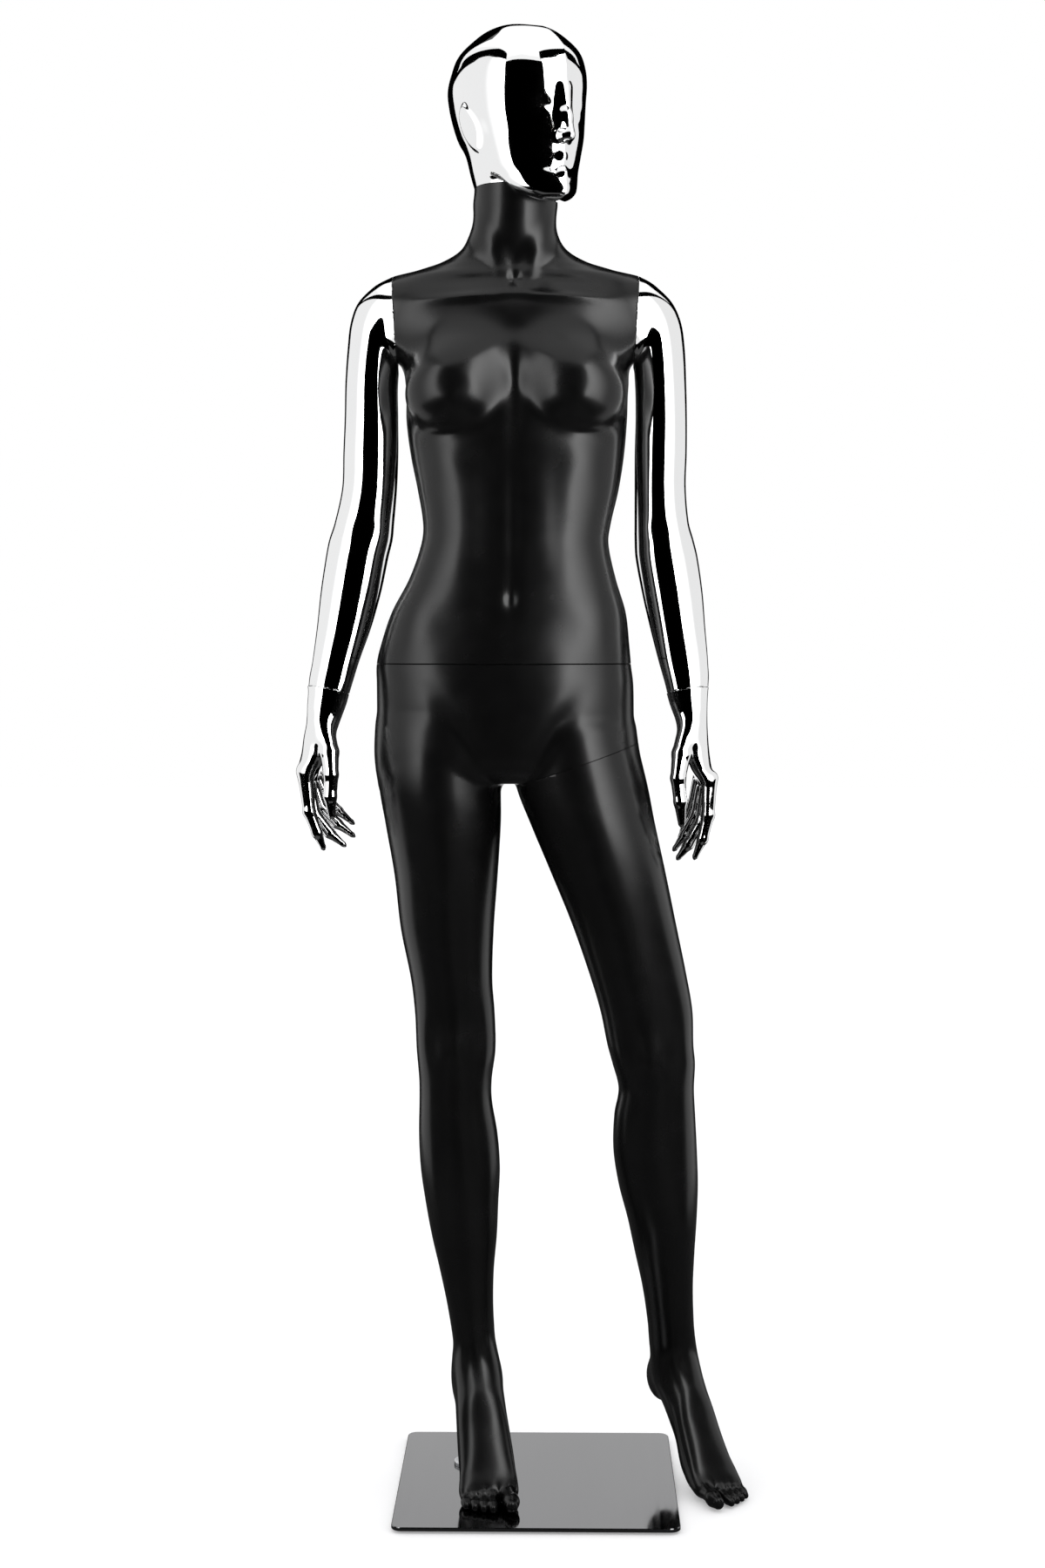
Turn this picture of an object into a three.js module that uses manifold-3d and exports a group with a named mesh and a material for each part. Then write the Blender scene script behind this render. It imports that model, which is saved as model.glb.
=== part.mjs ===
// Full-body female display mannequin that comes apart for dressing: chrome-plated head, arms and hands
// on a satin black torso and legs, standing on a polished steel base plate.
// Millimetres, +Z up. The figure faces -Y. Everything is laid out about the centre of the base plate at
// floor level, then moved along X so that the origin is under the middle of the whole outline.
import * as THREE from "three";
import { mergeVertices } from "three/addons/utils/BufferGeometryUtils.js";
import Module from "manifold-3d";

const wasm = await Module();
wasm.setup();

// ---------------------------------------------------------------- driving dimensions
const GAP = 0.6; // clear gap at every seam between two pieces
const FIT = 0.3; // clearance round a part that sits in a recess
const WALL = 4; // wall of the moulded shells
const BULKHEAD = 17; // solid end behind each seam face, which holds the fitting
const ROUND = 14; // sides of a small round part

const CENTRING = 17; // from the base plate's centre to the middle of the whole outline
const BASE = { size: 350, thick: 5, corner: 12, bevel: 0.8, padHeight: 2.5, padRadius: 10, padInset: 28 };
const BASE_TOP = BASE.padHeight + BASE.thick;
const ROD = { x: -84, y: 52, radius: 6, top: 262, flangeRadius: 24, flangeThick: 4 };
const TUBE = { outer: 9, inner: 6.6, bottom: 100, top: 268 };
const BASE_SCREW = { head: 7.5, headHeight: 3.6, shank: 4, length: 24 };
const GRUB_SCREW = { radius: 3.5, tail: 84, height: 168, key: 1.7 };

const NECK = { x: -27.5, y: -5, z: 1652, radius: 52.5 };
const WAIST_Z = 1047;
const HEAD_TURN = THREE.MathUtils.degToRad(40); // the head looks towards the figure's left
const SEAM_TILT = THREE.MathUtils.degToRad(3.5); // the shoulder seams lean out at the top
const SHOULDER = { right: -181, left: 126.5, y: 12, z: 1487, bottom: 1430 };

const v3 = (x, y, z) => new THREE.Vector3(x, y, z);

const SHOULDER_FITTING = { plate: 27, post: 8, length: 30, screws: 2 };
const WRIST_FITTING = { plate: 14, post: 5, length: 20, screws: 0 };

// The seams: a point on each, the direction in which its post points (into the socket side), and the
// fitting's plate radius, post radius, post length and number of screws in each plate.
const SEAMS = {
  neck: { at: v3(NECK.x, NECK.y, NECK.z), axis: v3(0, 0, 1), plate: 30, post: 9, length: 34, screws: 0 },
  waist: { at: v3(-42, 4, WAIST_Z), axis: v3(0, 0, 1), plate: 45, post: 11, length: 40, screws: 3 },
  right_shoulder: {
    at: v3(SHOULDER.right, SHOULDER.y, SHOULDER.z),
    axis: v3(Math.cos(SEAM_TILT), 0, Math.sin(SEAM_TILT)),
    ...SHOULDER_FITTING,
  },
  left_shoulder: {
    at: v3(SHOULDER.left, SHOULDER.y, SHOULDER.z),
    axis: v3(-Math.cos(SEAM_TILT), 0, Math.sin(SEAM_TILT)),
    ...SHOULDER_FITTING,
  },
  right_wrist: { at: v3(-265, -8, 1013), axis: v3(0.19, 0.14, 0.97), ...WRIST_FITTING },
  left_wrist: { at: v3(191, -8, 1013), axis: v3(-0.14, 0.14, 0.98), ...WRIST_FITTING },
  left_leg: { at: v3(52, 6, 920.5), axis: v3(-0.324, 0, 0.946), plate: 40, post: 10, length: 34, screws: 2 },
};
for (const seam of Object.values(SEAMS)) {
  seam.axis.normalize();
  seam.sides = seam.plate > 20 ? 20 : 12; // facets round its plates
}

// ---------------------------------------------------------------- outlines
// Each row of a limb: height, left and right edge seen from the front, front and back edge seen from the
// side and, where the section isn't an ellipse, how square it is.
const TORSO = [
  [1010, -205, 121, -96, 118, 2.25],
  [1045, -205, 120, -95, 104, 2.25],
  [1068, -200, 118, -94, 92, 2.25],
  [1112, -185, 113, -90, 74, 2.25],
  [1156, -162, 100, -85, 62, 2.25],
  [1200, -147, 91, -82, 60, 2.25],
  [1225, -145, 94, -82, 64, 2.25],
  [1268, -152, 104, -86, 76, 2.25],
  [1312, -161, 111, -88, 88, 2.25],
  [1357, -167, 115, -90, 97, 2.25],
  [1401, -168, 117, -88, 103, 2.25],
  [1430, -176, 122, -84, 105, 2.25],
  [1465, -214, 160, -76, 104, 2.25],
  [1500, -221, 165, -66, 98, 2.25],
  [1524, -207, 150, -55, 90, 2.25],
  [1540, -186, 131, -48, 84, 2.25],
  [1550, -156, 100, -44, 80, 2.1],
  [1560, -125, 67, -43, 75, 2.1],
  [1574, -100, 41, -45, 68, 2.1],
  [1592, -88, 28, -50, 59],
  [1615, -81, 24, -55, 51],
  [1640, -80, 25, -57.5, 47.5],
  [1670, -80, 25, -57.5, 47.5],
];
const PELVIS = [
  [895, -199, 114, -60, 92, 2.25],
  [900, -203, 122, -74, 104, 2.25],
  [934, -206, 126, -88, 119, 2.25],
  [977, -205, 124, -95, 124, 2.25],
  [1022, -205, 123, -96, 116, 2.25],
  [1045, -205, 120, -95, 104, 2.25],
  [1068, -200, 118, -94, 92, 2.25],
];
const RIGHT_LEG = [
  [120, -108, -50, 16, 82],
  [150, -108, -53, 10, 81],
  [176, -110, -55, 8, 78],
  [220, -117, -57, 4, 76],
  [265, -126, -56, -4, 73],
  [310, -136, -52, -14, 74],
  [355, -144, -50, -22, 76],
  [399, -150, -48, -29, 77],
  [443, -152, -51, -34, 72],
  [488, -151, -58, -36, 60],
  [515, -151, -58, -40, 54],
  [555, -154, -53, -46, 52],
  [600, -156, -54, -48, 52],
  [644, -161, -57, -56, 56],
  [710, -174, -55, -68, 64],
  [778, -182, -50, -78, 74],
  [845, -194, -45, -84, 86],
  [890, -202, -50, -86, 100],
  [940, -204, -36, -84, 112],
];
const LEFT_LEG = [
  [130, 147, 204, 38, 96],
  [169, 145, 205, 26, 88],
  [193, 143, 203, 18, 79],
  [242, 136, 201, 2, 68],
  [290, 126, 202, -18, 58],
  [338, 116, 204, -40, 50],
  [385, 104, 205, -56, 44],
  [432, 97, 203, -69, 34],
  [479, 98, 200, -80, 18],
  [513, 103, 198, -88, 6],
  [546, 95, 199, -97, 4],
  [568, 89, 197, -99, 4],
  [611, 80, 196, -96, 10],
  [654, 67, 189, -94, 20],
  [719, 44, 176, -92, 38],
  [784, 17, 163, -92, 56],
  [845, -9, 150, -92, 74],
  [888, -28, 142, -90, 94],
  [940, -38, 130, -88, 112],
  [980, -40, 122, -88, 116],
];
// The right arm; the inner edge of its top rows lies inside the torso and is cut away there.
const RIGHT_ARM = [
  [996, -294, -244, -30, 12],
  [1013, -292, -238, -29, 14],
  [1050, -287, -227, -27, 22],
  [1094, -282, -212, -25, 36],
  [1139, -278, -200, -22, 49],
  [1184, -272, -191, -18, 57],
  [1206, -268, -186, -15, 60],
  [1228, -261, -184, -13, 60],
  [1273, -251, -180, -16, 56],
  [1318, -249, -178, -22, 52],
  [1362, -247, -178, -26, 50],
  [1407, -246, -178, -30, 52],
  [1452, -243, -172, -34, 58],
  [1485, -240, -160, -34, 60],
  [1510, -231, -150, -30, 57],
  [1528, -216, -150, -22, 48],
  [1538, -204, -156, -10, 36],
];
const LEFT_ARM = [
  [996, 167, 218, -30, 12],
  [1013, 165, 218, -29, 14],
  [1050, 155, 218, -27, 22],
  [1094, 144, 215, -25, 36],
  [1139, 134, 212, -22, 49],
  [1184, 126, 206, -18, 57],
  [1206, 125, 201, -15, 60],
  [1228, 125, 195, -13, 60],
  [1273, 125, 191, -16, 56],
  [1318, 125, 192, -22, 52],
  [1362, 126, 192, -26, 50],
  [1407, 125, 191, -30, 52],
  [1452, 120, 190, -34, 58],
  [1485, 106, 185, -34, 60],
  [1510, 96, 172, -30, 57],
  [1528, 96, 157, -22, 48],
  [1538, 102, 150, -10, 36],
];
// Head, about the neck's axis and facing -Y before it is turned.
const HEAD = [
  [1627, -16, 16, -95, -64],
  [1633, -30, 30, -104, -32],
  [1641, -43, 43, -105, 4],
  [1648, -50, 50, -105, 40],
  [1654, -54, 54, -104, 53],
  [1669, -62, 62, -102, 56],
  [1691, -68, 68, -107, 63],
  [1713, -73, 73, -113, 80],
  [1736, -77, 77, -113, 90],
  [1758, -79, 79, -114, 97],
  [1780, -80, 80, -114, 100],
  [1800, -78, 78, -110, 93],
  [1821, -71, 71, -102, 82],
  [1840, -53, 53, -80, 58],
  [1850, -39, 39, -62, 39],
  [1855.5, -22, 22, -40, 16],
  [1857, -9, 9, -22, -2],
];
// Each hand about the centre of its wrist seam, as a right hand: palm rows, then each finger as joints
// with radii. The left hand hangs with straighter fingers and its thumb further out.
const RIGHT_HAND = {
  palm: [
    [-122, -38, -22, -4, 42],
    [-112, -40, -17, -16, 50],
    [-96, -40, -8, -19, 47],
    [-79, -36, 2, -20, 38],
    [-60, -33, 8, -20, 28],
    [-40, -29, 14, -19, 20],
    [-18, -28, 22, -20, 19],
    [0, -27, 27, -21, 21],
    [14, -29, 31, -22, 22],
  ],
  fingers: [
    [[-8, -6, -40, 14], [2, -20, -78, 12.5], [5, -29, -106, 9.5], [4, -31, -134, 8.5], [6, -29, -157, 5.5]],
    [[-30, -8, -104, 10], [-24, -12, -154, 8], [-14, -12, -181, 6.6], [-7, -10, -199, 4]],
    [[-29, 10, -108, 10], [-20, 10, -158, 8], [0, 10, -183, 6.6], [17, 10, -197, 4]],
    [[-28, 28, -106, 9.5], [-14, 28, -150, 7.6], [8, 27, -172, 6.3], [27, 25, -186, 3.8]],
    [[-26, 43, -98, 8.5], [-10, 45, -138, 6.8], [8, 44, -157, 5.8], [25, 42, -171, 3.6]],
  ],
};
const LEFT_HAND = {
  palm: [
    [-126, -37, -20, -4, 42],
    [-116, -36, -14, -16, 50],
    [-98, -32, -2, -19, 47],
    [-79, -29, 6, -20, 38],
    [-58, -27, 9, -20, 28],
    [-40, -26, 14, -19, 20],
    [-18, -26, 22, -20, 19],
    [0, -27, 27, -21, 21],
    [14, -29, 31, -22, 22],
  ],
  fingers: [
    [[-4, -6, -40, 14], [8, -20, -80, 12.5], [13, -29, -110, 9.5], [10, -31, -140, 8.5], [8, -29, -167, 5.5]],
    [[-28, -8, -112, 10], [-26, -12, -158, 8], [-19, -12, -188, 6.6], [-10, -10, -210, 4]],
    [[-27, 10, -116, 10], [-19, 10, -168, 8], [-2, 10, -197, 6.6], [10, 10, -213, 4]],
    [[-24, 28, -112, 9.5], [-14, 28, -160, 7.6], [2, 27, -187, 6.3], [14, 25, -203, 3.8]],
    [[-20, 43, -104, 8.5], [-10, 45, -148, 6.8], [-1, 44, -171, 5.8], [6, 42, -189, 3.6]],
  ],
};
// Right foot on a raised heel, about the centre of the heel: distance forward, left and right edge,
// underside and top. It points along -Y before it is turned.
const FOOT = [
  [-28, -12, 10, 109, 126, 2.2],
  [-22, -23, 20, 100, 138, 2.2],
  [-6, -29, 26, 95, 148, 2.2],
  [20, -28, 30, 96, 152, 2.2],
  [50, -25, 33, 79, 151, 2.2],
  [80, -25, 36, 46, 126, 2.2],
  [106, -29, 40, 18, 91, 2.4],
  [128, -36, 40, 9, 64, 2.4],
  [146, -37, 42, 7.8, 47, 2.4],
  [162, -36, 41, 8.5, 36, 2.4],
  [172, -32, 38, 10, 30, 2.4],
];
const TOES = [
  { x: 27, reach: 195, radius: 11.5, from: 148 },
  { x: 7, reach: 190, radius: 8, from: 148 },
  { x: -9, reach: 185, radius: 7.4, from: 144 },
  { x: -22, reach: 177, radius: 7, from: 138 },
  { x: -33, reach: 167, radius: 6.6, from: 132 },
];
const RIGHT_FOOT = { x: -80, y: 58, turn: THREE.MathUtils.degToRad(5), lift: 0, width: 1 };
const LEFT_FOOT = { x: 166, y: 90, turn: THREE.MathUtils.degToRad(27), lift: -7, width: 0.92 };

// ---------------------------------------------------------------- solids from geometry
function solid(geometry) {
  const bare = geometry.clone();
  for (const name of Object.keys(bare.attributes)) if (name !== "position") bare.deleteAttribute(name);
  const merged = mergeVertices(bare, 1e-4);
  return new wasm.Manifold(
    new wasm.Mesh({
      numProp: 3,
      vertProperties: merged.attributes.position.array,
      triVerts: new Uint32Array(merged.index.array),
    }),
  );
}

function geometryOf(made) {
  const { vertProperties, triVerts } = made.getMesh();
  const geometry = new THREE.BufferGeometry();
  geometry.setAttribute("position", new THREE.BufferAttribute(vertProperties, 3));
  geometry.setIndex(new THREE.BufferAttribute(triVerts, 1));
  geometry.computeVertexNormals();
  return geometry;
}

// A closed skin over rings of points; each ring has the same number of points, anticlockwise about the path.
function skin(rings) {
  const sides = rings[0].length;
  const points = rings.flat();
  const middle = (ring) => ring.reduce((sum, p) => sum.add(p), v3(0, 0, 0)).divideScalar(sides);
  const [bottom, top] = [points.length, points.length + 1];
  points.push(middle(rings[0]), middle(rings.at(-1)));
  const faces = [];
  for (let side = 0; side < sides; side++) {
    const next = (side + 1) % sides;
    faces.push(bottom, next, side);
    for (let row = 0; row < rings.length - 1; row++) {
      const [a, b] = [row * sides, (row + 1) * sides];
      faces.push(a + side, a + next, b + next, a + side, b + next, b + side);
    }
    const last = (rings.length - 1) * sides;
    faces.push(top, last + side, last + next);
  }
  const geometry = new THREE.BufferGeometry().setFromPoints(points);
  geometry.setIndex(faces);
  return solid(geometry);
}

// A smooth curve through values at rising knots: cubic pieces whose slopes come from the neighbouring points.
function curve(knots, values) {
  const last = knots.length - 1;
  const slopes = values.map((_, i) => {
    const [a, b] = [Math.max(i - 1, 0), Math.min(i + 1, last)];
    return (values[b] - values[a]) / (knots[b] - knots[a]);
  });
  return (t) => {
    let i = 0;
    while (i < last - 1 && t > knots[i + 1]) i++;
    const step = knots[i + 1] - knots[i];
    const s = THREE.MathUtils.clamp((t - knots[i]) / step, 0, 1);
    const [s2, s3] = [s * s, s * s * s];
    return (
      values[i] * (2 * s3 - 3 * s2 + 1) +
      values[i + 1] * (3 * s2 - 2 * s3) +
      slopes[i] * step * (s3 - 2 * s2 + s) +
      slopes[i + 1] * step * (s3 - s2)
    );
  };
}

// The rounded section of a set of rows at one level, shrunk by an inset.
function section(rows, level, sides, inset = 0) {
  const knots = rows.map((row) => row[0]);
  const at = (k) => curve(knots, rows.map((row) => row[k] ?? 2))(level);
  const [left, right, front, back, exponent] = [1, 2, 3, 4, 5].map(at);
  const ring = [];
  for (let i = 0; i < sides; i++) {
    const angle = (2 * Math.PI * i) / sides;
    const [c, s] = [Math.cos(angle), Math.sin(angle)];
    ring.push([
      (left + right) / 2 + ((right - left) / 2 - inset) * Math.sign(c) * Math.abs(c) ** (2 / exponent),
      (front + back) / 2 + ((back - front) / 2 - inset) * Math.sign(s) * Math.abs(s) ** (2 / exponent),
    ]);
  }
  return ring;
}

function limb(rows, { sides = 24 } = {}) {
  return skin(rows.map(([z]) => section(rows, z, sides).map(([x, y]) => v3(x, y, z))));
}

// The hollow inside a limb: the same outline, inset by the wall and with fewer sides.
function core(rows, low, high, inset = WALL + 1, sides = 8) {
  const between = rows.map((row) => row[0]).filter((z) => z > low + 8 && z < high - 8);
  return skin(
    [low, ...between, high].map((z) => section(rows, z, sides, inset).map(([x, y]) => v3(x, y, z))),
  );
}

// A tapered finger or toe through joints [x, y, z, radius], with a rounded tip.
function digit(joints, sides = 8) {
  const path = new THREE.CatmullRomCurve3(joints.map(([x, y, z]) => v3(x, y, z)));
  const radius = curve(joints.map((_, i) => i), joints.map((joint) => joint[3]));
  const count = 2 * (joints.length - 1);
  const ringAt = (centre, along, r) => {
    const across = v3(0, 1, 0).cross(along).normalize();
    const over = along.clone().cross(across);
    return Array.from({ length: sides }, (_, i) => {
      const angle = (2 * Math.PI * i) / sides;
      return centre
        .clone()
        .addScaledVector(across, r * Math.cos(angle))
        .addScaledVector(over, r * Math.sin(angle));
    });
  };
  const rings = Array.from({ length: count + 1 }, (_, i) => {
    const t = i / count;
    return ringAt(path.getPoint(t), path.getTangent(t), radius(t * (joints.length - 1)));
  });
  const [end, along, tip] = [path.getPoint(1), path.getTangent(1), joints.at(-1)[3]];
  rings.push(ringAt(end.addScaledVector(along, tip * 0.75), along, tip * 0.6));
  return skin(rings);
}

function ball(x, y, z, rx, ry, rz) {
  return solid(new THREE.SphereGeometry(1, 18, 12)).scale([rx, ry, rz]).translate([x, y, z]);
}

function disc(radius, low, high, sides = ROUND) {
  const geometry = new THREE.CylinderGeometry(radius, radius, high - low, sides);
  geometry.rotateX(Math.PI / 2);
  geometry.translate(0, 0, (low + high) / 2);
  return solid(geometry);
}

function block(x, y, z, cx = 0, cy = 0, cz = 0) {
  return solid(new THREE.BoxGeometry(x, y, z).translate(cx, cy, cz));
}

// Moves a solid made about the Z axis to a point, with Z turned to the given direction.
function place(made, at, axis) {
  const turn = new THREE.Quaternion().setFromUnitVectors(v3(0, 0, 1), axis);
  const matrix = new THREE.Matrix4().compose(at, turn, v3(1, 1, 1));
  return made.transform(matrix.elements);
}

function turned(made, angle, x, y, z = 0) {
  return made.rotate([0, 0, THREE.MathUtils.radToDeg(angle)]).translate([x, y, z]);
}

// The half of a solid on one side of a seam, half a gap away from it; side +1 is where the post points.
function half(made, seam, side, gap = GAP / 2) {
  const normal = seam.axis.clone().multiplyScalar(side);
  return made.trimByPlane(normal.toArray(), seam.at.dot(normal) + gap);
}

// ---------------------------------------------------------------- bayonet fittings
const PLATE = 4; // thickness of a fitting's plate
const POST_FIT = 0.8; // clearance round a post and its cross pin
const SCREW = { head: 3.6, headHeight: 1.8, shank: 1.7, length: 14, ring: 0.72 };
// The pin across a post, which bears on the back of the socket's plate.
function crossPin(seam) {
  const radius = seam.post * 0.22;
  return { radius, reach: seam.post + 3.2, height: GAP / 2 + PLATE + radius + 1 };
}

// A countersunk screw, its head flush at z = 0 and its shank pointing down; grow widens it to make its hole.
function screwShape(grow = 0) {
  const { head, headHeight, shank, length } = SCREW;
  const profile = [
    [0, -length - grow],
    [shank + grow, -length - grow],
    [shank + grow, -headHeight - grow],
    [head + grow, 0],
    [head + grow, grow],
    [0, grow],
  ];
  return spun(profile, 8);
}

// A profile of [radius, height] turned about Z, leaving out repeated points.
function spun(profile, sides) {
  const points = profile.filter(([r, z], i) => i === 0 || r !== profile[i - 1][0] || z !== profile[i - 1][1]);
  const geometry = new THREE.LatheGeometry(
    points.map(([r, z]) => new THREE.Vector2(r, z)),
    sides,
  );
  geometry.rotateX(Math.PI / 2);
  return solid(geometry);
}

// The driver slot in a screw's head.
const driverSlot = () => block(5, 0.9, 1, 0, 0, -0.2);

function screwSpots(seam) {
  return Array.from({ length: seam.screws }, (_, i) => {
    const angle = (2 * Math.PI * i) / seam.screws + Math.PI / 2;
    const r = seam.plate * SCREW.ring;
    return [r * Math.cos(angle), r * Math.sin(angle)];
  });
}

// Everything at one seam, made about Z with the seam at z = 0 and the post pointing up.
function fitting(seam) {
  const pin = crossPin(seam);
  const face = GAP / 2;
  const bore = seam.post + POST_FIT;
  const plate = disc(seam.plate, 0, PLATE, seam.sides);
  const pinAt = (grow) => {
    const radius = pin.radius + grow;
    const geometry = new THREE.CylinderGeometry(radius, radius, 2 * (pin.reach + grow), 8);
    geometry.rotateZ(Math.PI / 2);
    return solid(geometry).translate([0, 0, pin.height]);
  };
  let stud = plate.translate([0, 0, -face - PLATE]).add(disc(seam.post, -face - 1, seam.length));
  stud = stud.subtract(pinAt(FIT));
  // The slots let the cross pin through at a right angle to where it rests, so a quarter turn locks it.
  let socket = plate.translate([0, 0, face]).subtract(disc(bore, -1, PLATE + 2));
  const slot = block(2 * (pin.radius + POST_FIT), 2 * (pin.reach + 1), PLATE + 4, 0, 0, PLATE / 2);
  socket = socket.subtract(slot);
  const screws = { stud: [], socket: [] };
  screwSpots(seam).forEach(([x, y]) => {
    const down = (made) => made.translate([x, y, -face]);
    const up = (made) => made.rotate([180, 0, 0]).translate([x, y, face]);
    stud = stud.subtract(down(screwShape(FIT)));
    socket = socket.subtract(up(screwShape(FIT)));
    const screw = screwShape().subtract(driverSlot());
    screws.stud.push(down(screw));
    screws.socket.push(up(screw));
  });
  const holes = (spots, made) =>
    spots.reduce((sum, [x, y]) => sum.add(made.translate([x, y, 0])), disc(1, -0.1, 0.1));
  const studRecess = disc(seam.plate + FIT, -face - PLATE - FIT, 1, seam.sides).add(
    holes(screwSpots(seam), screwShape(FIT).translate([0, 0, -face])),
  );
  const socketRecess = disc(seam.plate + FIT, -1, face + PLATE + FIT, seam.sides)
    .add(disc(pin.reach + 2.5, 0, seam.length + 3))
    .add(holes(screwSpots(seam), screwShape(FIT).rotate([180, 0, 0]).translate([0, 0, face])));
  return { stud, socket, pin: pinAt(0), screws, studRecess, socketRecess };
}

const fittings = Object.fromEntries(Object.entries(SEAMS).map(([name, seam]) => [name, fitting(seam)]));
const atSeam = (made, name) => place(made, SEAMS[name].at, SEAMS[name].axis);
// A shell cut off at a seam, with the recess for the stud or the socket in its end.
const studEnd = (name) => atSeam(fittings[name].studRecess, name);
const socketEnd = (name) => atSeam(fittings[name].socketRecess, name);
const forStud = (made, name) => half(made, SEAMS[name], -1).subtract(studEnd(name));
const forSocket = (made, name) => half(made, SEAMS[name], 1).subtract(socketEnd(name));

// The hollow of a shell, kept a bulkhead's depth away from the seams that end it.
function hollow(made, ...ends) {
  return ends.reduce((cavity, [name, side]) => {
    const normal = SEAMS[name].axis.clone().multiplyScalar(side);
    return cavity.trimByPlane(normal.toArray(), SEAMS[name].at.dot(normal) + BULKHEAD);
  }, made);
}

// ---------------------------------------------------------------- the figure
const BUST = { centre: -26, apart: 77, y: -58, z: 1386, size: [63, 57, 64] };
const breast = (side) => ball(BUST.centre + side * BUST.apart, BUST.y, BUST.z, ...BUST.size);
const trunk = limb(TORSO, { sides: 30 }).add(breast(-1)).add(breast(1));

// The space outside a shoulder seam and above the armpit, which belongs to the arm.
function armSpace(name, side) {
  const room = block(240, 300, 190, side * 120, 0, SHOULDER.bottom + 95 - SHOULDER.z);
  const { at, axis } = SEAMS[name];
  return room.rotate([0, THREE.MathUtils.radToDeg(Math.asin(axis.z)) * side, 0]).translate(at.toArray());
}

function arm(side, rows, shoulder, wrist) {
  const cap = trunk.intersect(armSpace(shoulder, side));
  const outer = limb(rows, { sides: 16 }).add(cap);
  const inner = hollow(core(rows, 1034, 1500), [wrist, 1], [shoulder, -1]);
  return forStud(forSocket(outer, wrist), shoulder).subtract(inner).subtract(wristChannel(wrist));
}

// A narrow channel from the wrist socket's pocket to the arm's hollow.
const wristChannel = (wrist) => atSeam(disc(4, 10, 70, 8), wrist);
const shoulderChannel = (name) => atSeam(disc(6, 20, 80, 8), name);

function torso() {
  let made = trunk.subtract(armSpace("right_shoulder", -1)).subtract(armSpace("left_shoulder", 1));
  made = half(half(made, SEAMS.right_shoulder, 1).add(below(trunk)), SEAMS.waist, 1);
  made = made.subtract(socketEnd("right_shoulder")).subtract(socketEnd("left_shoulder"));
  made = forStud(forSocket(made, "waist"), "neck");
  const inner = core(TORSO, WAIST_Z + BULKHEAD, 1630, WALL + 2, 12);
  return made
    .subtract(hollow(inner, ["right_shoulder", 1], ["left_shoulder", 1]))
    .subtract(shoulderChannel("right_shoulder"))
    .subtract(shoulderChannel("left_shoulder"));
}

// The trunk below the armpits, where the shoulder seams don't cut it.
const below = (made) => made.trimByPlane([0, 0, -1], -SHOULDER.bottom);

// A foot in its own frame: heel over the origin, toes towards -Y, the big toe on +X.
function footShape() {
  const sole = skin(
    FOOT.map(([reach]) => section(FOOT, reach, 14).map(([x, z]) => v3(x, -reach, z))),
  );
  return TOES.reduce((made, toe) => {
    const height = toe.radius + 7.8;
    return made.add(
      digit([
        [toe.x * 0.9, -toe.from, height + 4, toe.radius + 1],
        [toe.x, -(toe.from + toe.reach) / 2 - 4, height + 1.5, toe.radius],
        [toe.x, -toe.reach + toe.radius, height, toe.radius * 0.9],
      ], 7),
    );
  }, sole);
}

function foot(side, { x, y, turn, lift, width }) {
  return turned(footShape().scale([-side * width, 1, 1]), turn, x, y, lift);
}

const leftThigh = limb(LEFT_LEG, { sides: 18 });

function pelvisAndRightLeg() {
  // Below its seam the left leg has the space to itself.
  const legSpace = half(block(300, 300, 200, 118, 0, 870), SEAMS.left_leg, -1, -GAP / 2);
  const hips = limb(PELVIS, { sides: 30 }).subtract(legSpace.add(block(300, 300, 70, 118, 0, 855)));
  let made = half(hips.add(half(leftThigh, SEAMS.left_leg, 1)), SEAMS.waist, -1);
  made = made.add(limb(RIGHT_LEG, { sides: 18 })).add(foot(-1, RIGHT_FOOT));
  made = made.subtract(studEnd("waist")).subtract(socketEnd("left_leg"));
  const hipHollow = hollow(core(PELVIS, 905, WAIST_Z - BULKHEAD, WALL + 8, 12), ["left_leg", 1]);
  const legHollow = core(RIGHT_LEG, 300, 925);
  const bridge = disc(30, 900, 980, 10).translate([-118, 8, 0]);
  const hole = disc(TUBE.outer + FIT, 0, TUBE.top + FIT).add(disc(TUBE.inner, TUBE.top, 320));
  return made
    .subtract(hipHollow)
    .subtract(legHollow)
    .subtract(bridge)
    .subtract(hole.translate([ROD.x, ROD.y, 0]))
    .subtract(grubScrew(FIT));
}

function leftLeg() {
  const made = forStud(leftThigh.add(foot(1, LEFT_FOOT)), "left_leg");
  const inner = hollow(core(LEFT_LEG, 230, 935), ["left_leg", -1]);
  const vent = disc(5, -60, -PLATE, 8); // joins the leg's hollow to the back of its fitting
  return made.subtract(inner).subtract(atSeam(vent, "left_leg"));
}

function head() {
  const nose = ball(0, -108, 1718, 9, 13, 24);
  const ear = (side) => ball(side * 72, -2, 1722, 9, 18, 29);
  const shape = limb(HEAD, { sides: 24 }).add(nose).add(ear(-1)).add(ear(1));
  const neckRoom = disc(NECK.radius + 1.2, 1600, NECK.z + GAP / 2, 36).translate([NECK.x, NECK.y, 0]);
  const inner = turned(core(HEAD, NECK.z + BULKHEAD, 1844), HEAD_TURN, NECK.x, NECK.y);
  return turned(shape, HEAD_TURN, NECK.x, NECK.y)
    .subtract(neckRoom)
    .subtract(socketEnd("neck"))
    .subtract(inner);
}

// The right hand, or its mirror image, at its wrist.
function hand(side, wrist, shape) {
  const palm = limb(shape.palm, { sides: 12 });
  let made = shape.fingers.reduce((sum, joints) => sum.add(digit(joints, 7)), palm);
  if (side > 0) made = made.mirror([1, 0, 0]);
  return forStud(made.translate(SEAMS[wrist].at.toArray()), wrist);
}

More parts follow.
